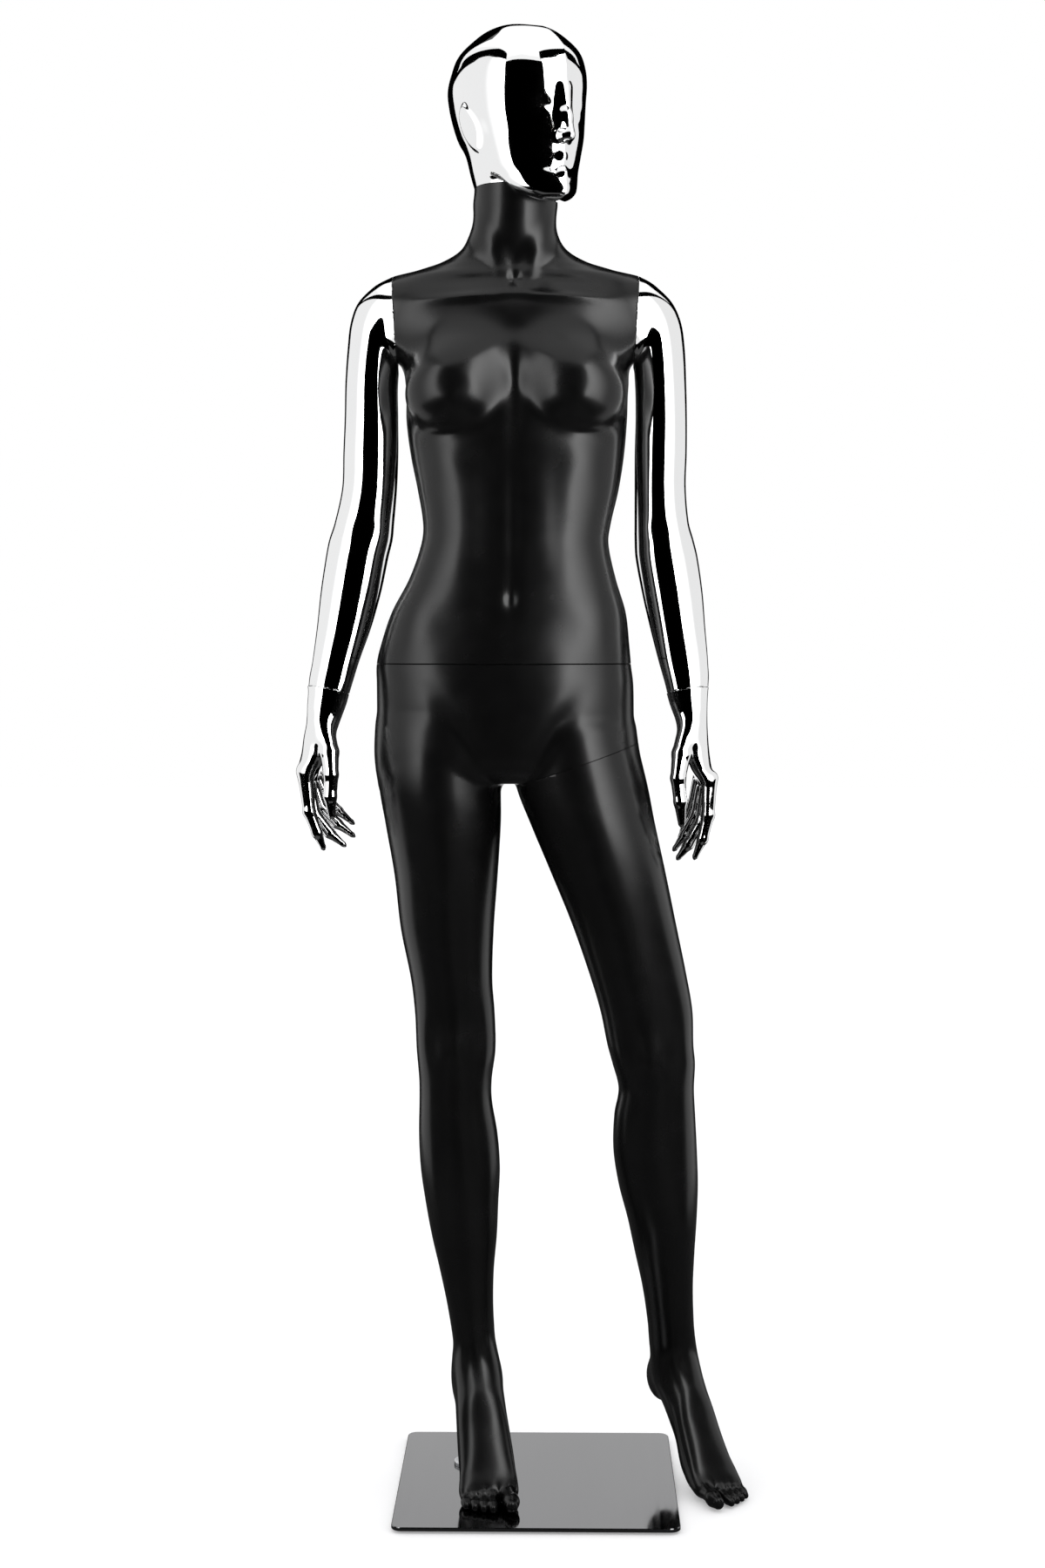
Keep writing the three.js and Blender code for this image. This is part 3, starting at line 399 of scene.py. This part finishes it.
def hand(side, palm, fingers, wrist):
    """The field of one hand: palm, fingers with their knuckles and nails."""
    palm_tube = tube(palm, 10)
    ox, oy, oz = SEAMS[wrist][0]

    def field(x, y, z):
        x, y, z = (x - ox) * -side, y - oy, z - oz
        f = palm_tube(x, y, z)
        parts = None
        for joints in fingers:
            finger = chain(x, y, z, joints)
            for jx, jy, jz, jr in joints[1:-1]:
                finger = finger - bump(x, y, z, (jx - 4, jy, jz), (8, 8, 6), 0.6)
            tip, last = joints[-1], joints[-2]
            nail = [tip[k] + (tip[k] - last[k]) * 0.16 for k in range(3)]
            finger = smin(finger, chain(x, y, z, [tip[:3] + (2.6,), tuple(nail) + (1.5,)]), 3)
            parts = finger if parts is None else smin(parts, finger, 1.5)
        f = smin(f, parts, 9)
        f = f + bump(x, y, z, (8, 12, -84), (16, 18, 26), 4)  # hollow of the palm
        for joints in fingers[1:]:
            jx, jy, jz, _ = joints[0]
            f = f - bump(x, y, z, (jx - 8, jy, jz + 4), (7, 6, 9), 1.6)
        return f

    return field


def head(x, y, z):
    """The abstract head: a ridge down the face, nose, lips, chin, closed eyes and flat ears."""
    c, s = math.cos(HEAD_TURN), math.sin(HEAD_TURN)
    dx, dy = x - NECK_AXIS[0], y - NECK_AXIS[1]
    x, y = c * dx + s * dy, c * dy - s * dx
    side = np.abs(x)
    f = smax(head_tube(x, y, z), (np.interp(y, *JAW) - z) * 0.6, 6)
    neck = np.sqrt(x * x + y * y) - NECK_RADIUS - 0.2 * np.maximum(z - 1652, 0)
    f = smin(f, smax(neck, z - 1700, 8), 8)
    low = ease((1790 - z) / 90)  # the cheeks slope back from the nose's ridge, more so lower down
    keel = (0.34 + 0.12 * low) * side - (0.94 - 0.05 * low) * (y - head_rows(z)[2] - 2.5)
    f = smax(f, keel, 26 - 12 * low)
    f = smin(f, chain(x, y, z, [(0, -96, 1764, 6), (0, -101, 1730, 6), (0, -108, 1704, 6.5)], 8), 11)  # nose
    f = smin(f, blob(side, y, z, (6, -100, 1703), (5, 6, 5)), 8)
    f = f + bump(side, y, z, (28, -88, 1742), (20, 18, 15), 1.5)  # eye sockets
    f = f - bump(side, y, z, (31, -84, 1737), (15, 14, 8), 0.7)  # closed lids
    f = f - bump(x, y, z, (0, -104, 1679), (6.5, 14, 6), 3)  # lips
    f = f - bump(x, y, z, (0, -103, 1660), (6, 14, 6.5), 2.8)
    f = f + bump(x, y, z, (0, -106, 1669.5), (6, 10, 1.8), 0.8)
    f = f - bump(x, y, z, (0, -100, 1636), (13, 18, 11), 2.4)  # chin
    lean = y + 7 + (z - 1720) * -0.3
    front = ease((8 - lean) / 24)  # the ear stands off behind and fades into the cheek in front
    ear = np.sqrt((lean / 25) ** 2 + ((z - 1720) / 32) ** 2)
    return f - (5 - 2.5 * front) * ease((1.1 - ear) / (0.25 + 0.85 * front)) * (side > 40)


# ------------------------------------------------------------------ meshes
def spaced(low, high, step, fine=()):
    """Grid lines from low to high, with a finer step over the given spans."""
    points, at = [low], low
    while at < high:
        at += next((small for a, b, small in fine if a <= at < b), step)
        points.append(at)
    return np.array(points)


def surface(field, xs, ys, zs):
    """Surface nets: one vertex in each crossed cell of the grid, one quad across each crossed edge."""
    size = (len(xs), len(ys), len(zs))
    f = np.broadcast_to(field(xs[:, None, None], ys[None, :, None], zs[None, None, :]), size)
    inside = f < 0
    shape = tuple(n - 1 for n in f.shape)
    total, count = np.zeros(shape + (3,)), np.zeros(shape)
    lines = (xs, ys, zs)
    crossed = []
    for axis in range(3):
        low = [slice(None)] * 3
        high = [slice(None)] * 3
        low[axis], high[axis] = slice(0, -1), slice(1, None)
        cross = inside[tuple(low)] != inside[tuple(high)]
        crossed.append(cross)
        i = np.nonzero(cross)
        fa, fb = f[tuple(low)][i], f[tuple(high)][i]
        t = fa / (fa - fb)
        point = np.stack([lines[k][i[k]] for k in range(3)], -1)
        point[:, axis] += t * (lines[axis][i[axis] + 1] - lines[axis][i[axis]])
        others = [k for k in range(3) if k != axis]
        for da in (0, 1):
            for db in (0, 1):
                cell = [i[k] for k in range(3)]
                cell[others[0]] = cell[others[0]] - da
                cell[others[1]] = cell[others[1]] - db
                ok = np.ones(len(t), bool)
                for k in range(3):
                    ok &= (cell[k] >= 0) & (cell[k] < shape[k])
                where = tuple(c[ok] for c in cell)
                np.add.at(total, where, point[ok])
                np.add.at(count, where, 1)
    used = count > 0
    number = np.full(shape, -1)
    number[used] = np.arange(used.sum())
    vertices = total[used] / count[used][:, None]
    quads = []
    for axis in range(3):
        a, b = [k for k in range(3) if k != axis]
        i = [c.copy() for c in np.nonzero(crossed[axis])]
        ok = (i[a] > 0) & (i[b] > 0) & (i[a] < shape[a]) & (i[b] < shape[b])
        i = [c[ok] for c in i]
        corners = []
        for da, db in ((1, 1), (0, 1), (0, 0), (1, 0)):
            cell = list(i)
            cell[a], cell[b] = cell[a] - da, cell[b] - db
            corners.append(number[tuple(cell)])
        quad = np.stack(corners, -1)
        flip = inside[tuple(i)] ^ (axis == 1)
        quad[~flip] = quad[~flip][:, ::-1]
        quads.append(quad)
    return vertices, np.concatenate(quads)


def settle(field, vertices, quads, rounds=3):
    """Evens out the vertices along the surface and puts each one exactly on it."""
    def put_on(v):
        h = 0.2
        for _ in range(2):
            value = field(v[:, 0], v[:, 1], v[:, 2])
            slope = np.stack([
                (field(*(v + h * e).T) - field(*(v - h * e).T)) / (2 * h) for e in np.eye(3)
            ], -1)
            step = (value / np.maximum((slope**2).sum(1), 0.05))[:, None] * slope
            v = v - np.clip(step, -2, 2)
        return v

    ends = np.concatenate([quads[:, [k, (k + 1) % 4]] for k in range(4)])
    for _ in range(rounds):
        total, count = np.zeros_like(vertices), np.zeros(len(vertices))
        for a, b in ((0, 1), (1, 0)):
            np.add.at(total, ends[:, a], vertices[ends[:, b]])
            np.add.at(count, ends[:, a], 1)
        vertices = put_on(vertices + 0.6 * (total / count[:, None] - vertices))
    return vertices


def cut(mesh, seam, side, above=None):
    """Keeps the part of a mesh on one side of a seam (+1 is where the post points) and closes the cut flat.

    With a height given, only what lies above it and away from the middle is cut.
    """
    point, axis = Vector(SEAMS[seam][0]), Vector(SEAMS[seam][1]).normalized() * side
    point += axis * SEAM_GAP / 2
    faces = mesh.faces[:]
    if above is not None:
        sign = math.copysign(1, point.x - MIDLINE)
        faces = [f for f in faces if f.calc_center_median().z > above
                 and sign * (f.calc_center_median().x - MIDLINE) > SHOULDER_REACH]
    edges = list({e for f in faces for e in f.edges})
    verts = list({v for f in faces for v in f.verts})
    inner = point + axis * CHAMFER
    grown = bmesh.ops.bisect_plane(mesh, geom=verts + edges + faces, plane_co=inner, plane_no=axis)
    made = bmesh.ops.bisect_plane(mesh, geom=grown["geom"], plane_co=point, plane_no=axis, clear_inner=True)
    rim = [e for e in made["geom_cut"] if isinstance(e, bmesh.types.BMEdge)]
    mesh.normal_update()
    for v in {v for e in rim for v in e.verts}:
        v.co -= (v.normal - axis * v.normal.dot(axis)).normalized() * CHAMFER
    bmesh.ops.triangle_fill(mesh, edges=rim, use_beauty=True, normal=-axis)


def leg_room():
    """A cutter for the space of the left leg, below its seam and beside the crotch."""
    point, axis = Vector(SEAMS["left_leg"][0]), Vector(SEAMS["left_leg"][1])
    outside, low, deep = 230, 780, 200  # beyond the thigh sideways, downwards, and to the front and back
    tops = [point.z + (SEAM_GAP / 2 - axis.x * (x - point.x)) / axis.z for x in (outside, CROTCH)]
    outline = ((CROTCH, low), (outside, low), (outside, tops[0]), (CROTCH, tops[1]))
    corners = [(x, y, z) for y in (-deep, deep) for x, z in outline]
    mesh = bmesh.new()
    v = [mesh.verts.new(c) for c in corners]
    for face in ((0, 1, 2, 3), (7, 6, 5, 4), (0, 4, 5, 1), (1, 5, 6, 2), (2, 6, 7, 3), (3, 7, 4, 0)):
        mesh.faces.new([v[i] for i in face])
    bmesh.ops.recalc_face_normals(mesh, faces=mesh.faces)
    return as_object(mesh, "cutter")


def drum(seam, radius, low, high, sides=48):
    """A round cutter about a seam's axis, in mm."""
    mesh = bmesh.new()
    bmesh.ops.create_cone(
        mesh, cap_ends=True, segments=sides, radius1=radius, radius2=radius, depth=high - low
    )
    turn = Vector((0, 0, 1)).rotation_difference(Vector(SEAMS[seam][1]))
    spot = Matrix.Translation(Vector(SEAMS[seam][0])) @ turn.to_matrix().to_4x4()
    bmesh.ops.transform(mesh, matrix=spot @ Matrix.Translation((0, 0, (low + high) / 2)), verts=mesh.verts)
    return as_object(mesh, "cutter")


def as_object(mesh, name):
    """A Blender object from a bmesh in plate-centred millimetres."""
    to_frame = Matrix.Scale(MM, 4) @ Matrix.Translation((CENTRING, 0, 0))
    bmesh.ops.transform(mesh, matrix=to_frame, verts=mesh.verts)
    data = bpy.data.meshes.new(name)
    mesh.to_mesh(data)
    mesh.free()
    made = bpy.data.objects.new(name, data)
    bpy.context.scene.collection.objects.link(made)
    return made


def pockets(seam, side):
    """Cutters for a seam's fitting: a plate's depth, and on the socket side room for the post too."""
    _, _, plate, post, length = SEAMS[seam]
    depth = SEAM_GAP / 2 + PLATE_DEPTH
    cutters = [drum(seam, plate + PLATE_ROOM, *((-1, depth) if side > 0 else (-depth, 1)))]
    if side > 0:
        cutters.append(drum(seam, post + POST_ROOM, 0.5, length + POST_END))
    return cutters


def carve(piece, cutters):
    """Takes the cutters out of a piece, and deletes them."""
    for cutter in cutters:
        step = piece.modifiers.new("pocket", "BOOLEAN")
        step.operation, step.object, step.solver = "DIFFERENCE", cutter, "EXACT"
    graph = bpy.context.evaluated_depsgraph_get()
    data = bpy.data.meshes.new_from_object(piece.evaluated_get(graph))
    piece.modifiers.clear()
    old, piece.data = piece.data, data
    bpy.data.meshes.remove(old)
    for cutter in cutters:
        bpy.data.objects.remove(cutter)


def moulded(name, field, box, step, seams, body, node, material, fine=((), (), ())):
    """One moulded shell: its surface, cuts, fitting pockets, place in the frame and finish."""
    grid = [spaced(box[k], box[k + 3], step, fine[k]) for k in range(3)]
    vertices, quads = surface(field, *grid)
    vertices = settle(field, vertices, quads)
    data = bpy.data.meshes.new("rough")
    data.from_pydata(vertices.tolist(), [], quads.tolist())
    mesh = bmesh.new()
    mesh.from_mesh(data)
    bpy.data.meshes.remove(data)
    cutters = []
    for seam, side in seams:
        if seam == "left_leg" and side > 0:
            cutters.append(leg_room())
        elif seam == "neck" and side > 0:
            cutters.append(drum("neck", NECK_RADIUS + 1.4, -60, SEAM_GAP / 2, 96))
        elif seam.endswith("shoulder") and side > 0:
            cut(mesh, seam, side, above=SHOULDER_CUT)
        else:
            cut(mesh, seam, side)
        cutters += pockets(seam, side)
    drop_scraps(mesh)
    piece = as_object(mesh, name)
    carve(piece, cutters)
    piece.data.shade_smooth()
    piece.data.set_sharp_from_angle(angle=math.radians(42))
    piece.data.materials.clear()
    piece.data.materials.append(material)
    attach(piece, body)
    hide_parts(node)
    return piece


def drop_scraps(mesh):
    """Keeps only the largest connected part."""
    left, best = set(mesh.verts), []
    while left:
        queue, found = [left.pop()], []
        while queue:
            v = queue.pop()
            found.append(v)
            for e in v.link_edges:
                other = e.other_vert(v)
                if other in left:
                    left.remove(other)
                    queue.append(other)
        if len(found) > len(best):
            best = found
    keep = set(best)
    bmesh.ops.delete(mesh, geom=[v for v in mesh.verts if v not in keep], context="VERTS")


# ------------------------------------------------------------------ materials
def material(name, color, roughness, metallic, build):
    """A material whose colour and finish vary as build lays them out."""
    made = bpy.data.materials.new(name)
    made.use_nodes = True
    tree = made.node_tree
    shader = tree.nodes["Principled BSDF"]
    shader.inputs["Base Color"].default_value = (*color, 1)
    shader.inputs["Roughness"].default_value = roughness
    shader.inputs["Metallic"].default_value = metallic
    build(tree, shader)
    return made


def noise(tree, scale, detail, stretch=(1, 1, 1)):
    """Noise in the object's own coordinates, in cycles per metre."""
    place = tree.nodes.new("ShaderNodeTexCoord")
    turn = tree.nodes.new("ShaderNodeMapping")
    turn.inputs["Scale"].default_value = stretch
    pattern = tree.nodes.new("ShaderNodeTexNoise")
    pattern.inputs["Scale"].default_value = scale
    pattern.inputs["Detail"].default_value = detail
    tree.links.new(place.outputs["Object"], turn.inputs["Vector"])
    tree.links.new(turn.outputs["Vector"], pattern.inputs["Vector"])
    return pattern.outputs["Fac"]


def spread(tree, source, low, high):
    """Maps a noise value onto a range."""
    ramp = tree.nodes.new("ShaderNodeMapRange")
    ramp.inputs["From Min"].default_value, ramp.inputs["From Max"].default_value = 0.3, 0.7
    ramp.inputs["To Min"].default_value, ramp.inputs["To Max"].default_value = low, high
    tree.links.new(source, ramp.inputs["Value"])
    return ramp.outputs["Result"]


def tint(tree, source, low, high):
    """Maps a noise value onto a blend of two colours."""
    mix = tree.nodes.new("ShaderNodeMix")
    mix.data_type = "RGBA"
    mix.inputs["A"].default_value, mix.inputs["B"].default_value = (*low, 1), (*high, 1)
    tree.links.new(source, mix.inputs["Factor"])
    return mix.outputs["Result"]


def relief(tree, shader, source, distance, strength=1.0):
    """Fine unevenness of the surface."""
    ridge = tree.nodes.new("ShaderNodeBump")
    ridge.inputs["Distance"].default_value = distance
    ridge.inputs["Strength"].default_value = strength
    tree.links.new(source, ridge.inputs["Height"])
    tree.links.new(ridge.outputs["Normal"], shader.inputs["Normal"])


def vary(tree, shader, colour, low, high, finish, rough):
    """Blends two colours by one noise and the roughness by another; each noise is scale, detail, stretch."""
    tree.links.new(tint(tree, noise(tree, *colour), low, high), shader.inputs["Base Color"])
    tree.links.new(spread(tree, noise(tree, *finish), *rough), shader.inputs["Roughness"])


def lacquer(tree, shader):
    vary(tree, shader, (9, 3), (0.0015, 0.0015, 0.0016), (0.003, 0.003, 0.0032), (34, 4), (0.23, 0.28))
    shader.inputs["Specular IOR Level"].default_value = 0.36
    relief(tree, shader, noise(tree, 900, 2), 0.00003, 0.3)


def plating(tree, shader):
    vary(tree, shader, (6, 2), (0.88, 0.885, 0.89), (0.93, 0.93, 0.93), (60, 5), (0.02, 0.05))


def polished(tree, shader):
    along, brushed = (7, 4, (1, 0.2, 1)), (120, 5, (1, 0.05, 1))
    vary(tree, shader, along, (0.17, 0.17, 0.175), (0.2, 0.2, 0.205), brushed, (0.05, 0.13))


def zinc(tree, shader):
    vary(tree, shader, (160, 5), (0.45, 0.46, 0.48), (0.66, 0.67, 0.68), (300, 4), (0.24, 0.42))


def rubbery(tree, shader):
    vary(tree, shader, (200, 4), (0.012, 0.012, 0.012), (0.03, 0.03, 0.03), (260, 3), (0.75, 0.95))
    relief(tree, shader, noise(tree, 1500, 2), 0.0001)


BLACK = material("satin_black", (0.008, 0.008, 0.009), 0.3, 0, lacquer)
CHROME = material("mirror_chrome", (0.9, 0.9, 0.9), 0.03, 1, plating)
PLATE = material("polished_plate", (0.19, 0.19, 0.2), 0.08, 1, polished)
ZINC = material("zinc_steel", (0.55, 0.55, 0.57), 0.3, 1, zinc)
RUBBER = material("black_rubber", (0.02, 0.02, 0.02), 0.85, 0, rubbery)

# ------------------------------------------------------------------ the shells
# Each has a box and a grid step in mm, its seams (+1 on the side where the post points), and finer spans.
COARSE = 1.0
FINE = 1.8 * COARSE  # for the feet
moulded("torso_satin", torso, (-224, -126, 1042, 168, 114, 1660), 3.2 * COARSE,
        [("waist", 1), ("neck", -1), ("right_shoulder", 1), ("left_shoulder", 1)],
        "torso", "torso_shell", BLACK)
moulded("hips_and_right_leg_satin", right_side, (-212, -146, 2, 150, 134, 1056), 3.4 * COARSE,
        [("waist", -1), ("left_leg", 1)], "hips_and_base", "pelvis_and_right_leg_shell", BLACK,
        (((-124, -36, FINE),), ((-146, -40, FINE),), ((2, 120, FINE),)))
moulded("left_leg_satin", left_side, (-45, -112, -4, 285, 128, 960), 3.2 * COARSE,
        [("left_leg", -1)], "hips_and_base", "left_leg_shell", BLACK,
        (((130, 285, 1.9 * COARSE),), ((-112, 0, 1.9 * COARSE),), ((-4, 110, FINE),)))
for side, label, palm, fingers, edges in (
    (-1, "right", RIGHT_PALM, RIGHT_FINGERS, (-300, -170)),
    (1, "left", LEFT_PALM, LEFT_FINGERS, (95, 226)),
):
    moulded(f"{label}_arm_chrome", arm(side), (edges[0], -46, 985, edges[1], 76, 1550), 2.1 * COARSE,
            [(f"{label}_wrist", 1), (f"{label}_shoulder", -1)], f"{label}_arm", f"{label}_arm_shell", CHROME)
    centre = SEAMS[f"{label}_wrist"][0][0]
    moulded(f"{label}_hand_chrome", hand(side, palm, fingers, f"{label}_wrist"),
            (centre - 52, -62, 785, centre + 52, 54, 1040), 1.3 * COARSE, [(f"{label}_wrist", -1)],
            f"{label}_hand", f"{label}_hand", CHROME)
moulded("head_chrome", head, (-130, -120, 1614, 90, 100, 1870), 1.7 * COARSE, [("neck", 1)],
        "head", "head_shell", CHROME)

FINISHES = {"base_plate": PLATE, "base_pad": RUBBER}
for name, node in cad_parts.items():
    if node.hide_render:
        continue
    finish = next((m for start, m in FINISHES.items() if name.startswith(start)), ZINC)
    node.data.materials.clear()
    node.data.materials.append(finish)


# ------------------------------------------------------------------ studio
def panel(name, corners, glow=0.0, color=(0, 0, 0)):
    """A flat staged sheet through four corners."""
    data = bpy.data.meshes.new(name)
    data.from_pydata(corners, [], [(0, 1, 2, 3)])
    made = bpy.data.objects.new(name, data)
    bpy.context.scene.collection.objects.link(made)
    skin = bpy.data.materials.new(name)
    skin.use_nodes = True
    shader = skin.node_tree.nodes["Principled BSDF"]
    shader.inputs["Base Color"].default_value = (*color, 1)
    shader.inputs["Roughness"].default_value = 1
    shader.inputs["Specular IOR Level"].default_value = 0
    shader.inputs["Emission Color"].default_value = (1, 1, 1, 1)
    shader.inputs["Emission Strength"].default_value = glow
    data.materials.append(skin)
    return made


def unseen(card):
    """Leaves a card to reflections only."""
    card.visible_camera = card.visible_diffuse = card.visible_shadow = card.visible_transmission = False


def upright(name, start, end, low, high, near=0.0, far=0.0, edge=0.2):
    """A standing card that only reflections see, from one floor point to another; its glow fades along it."""
    (ax, ay), (bx, by) = start, end
    made = panel(name, [(ax, ay, low), (bx, by, low), (bx, by, high), (ax, ay, high)])
    unseen(made)
    if near or far:
        coordinates = made.data.uv_layers.new(name="along")
        for loop, uv in zip(coordinates.data, ((0, 0), (1, 0), (1, 1), (0, 1))):
            loop.uv = uv
        tree = made.data.materials[0].node_tree
        place = tree.nodes.new("ShaderNodeUVMap")
        apart = tree.nodes.new("ShaderNodeSeparateXYZ")
        ramp = tree.nodes.new("ShaderNodeMapRange")
        ramp.interpolation_type = "SMOOTHSTEP"
        ramp.inputs["From Max"].default_value = edge
        ramp.inputs["To Min"].default_value, ramp.inputs["To Max"].default_value = near, far
        tree.links.new(place.outputs["UV"], apart.inputs["Vector"])
        tree.links.new(apart.outputs["X"], ramp.inputs["Value"])
        tree.links.new(ramp.outputs["Result"], tree.nodes["Principled BSDF"].inputs["Emission Strength"])
    return made


def light(name, at, size, toward, power):
    """A rectangular area light, in metres and watts."""
    data = bpy.data.lights.new(name, "AREA")
    data.shape, data.size, data.size_y, data.energy = "RECTANGLE", size[0], size[1], power
    made = bpy.data.objects.new(name, data)
    made.location = at
    made.rotation_euler = (Vector(at) - Vector(toward)).to_track_quat("Z", "Y").to_euler()
    made.visible_camera = False
    bpy.context.scene.collection.objects.link(made)


def square(half, height):
    """The corners of a level square about the origin."""
    return [(-half, -half, height), (half, -half, height), (half, half, height), (-half, half, height)]


panel("floor", square(15, -0.0005), 0.25, (0.86, 0.86, 0.87))

world = bpy.data.worlds.new("studio")
world.use_nodes = True
world.node_tree.nodes["Background"].inputs["Color"].default_value = (1, 1, 1, 1)
world.node_tree.nodes["Background"].inputs["Strength"].default_value = 1.0
bpy.context.scene.world = world
bpy.context.scene.view_settings.view_transform = "Standard"
# What the figure mirrors: a dark opening towards the camera, a white flat each side of it that is brightest
# next to the opening, a white ceiling, and dark gaps above the flats and beside the backdrop.
FLAT_LEFT, FLAT_RIGHT, FLAT_HEIGHT = (-0.7, -0.85), (0.46, -0.85), 2.35
upright("dark_opening", FLAT_LEFT, FLAT_RIGHT, 0, 2.24)
upright("flat_left", FLAT_LEFT, (-1.5, 1.5), 0, FLAT_HEIGHT, 4.0, 0.92, 0.26)
upright("flat_right", FLAT_RIGHT, (1.5, 1.5), 0, FLAT_HEIGHT, 7.0, 0.88, 0.28)
upright("gap_left", (-0.7, -0.9), (-1.5, 1.5), FLAT_HEIGHT, 2.6)
upright("gap_right", (0.46, -0.9), (1.5, 1.5), FLAT_HEIGHT, 2.6)
upright("low_left", (-0.6, -0.86), (-0.88, 0.0), 0, 0.88)
upright("low_right", (0.45, -0.86), (0.7, 0.0), 0, 0.88)
upright("dark_back_left", (-1.5, 1.5), (-0.4, 2.6), 0, 4.5)
upright("dark_back_right", (1.5, 1.5), (0.4, 2.6), 0, 4.5)
upright("dark_back_top", (-0.4, 2.6), (0.4, 2.6), 2.3, 4.5)
unseen(panel("dark_floor", square(3, 0.003), 0.06))
light("top", (0, -0.4, 3.2), (2.8, 2.8), (0, -0.4, 1.2), 3)

# ------------------------------------------------------------------ camera: level, a little to one side
camera = bpy.data.objects.new("camera", bpy.data.cameras.new("camera"))
bpy.context.scene.collection.objects.link(camera)
camera.location = ((28 + CENTRING) * MM, -3.03, 1.067)
camera.rotation_euler = (math.radians(90), 0, math.radians(0.88))
camera.data.sensor_width = 36
camera.data.lens = 54.46
camera.data.shift_y = -0.0867
camera.data.clip_start, camera.data.clip_end = 0.05, 60
bpy.context.scene.camera = camera
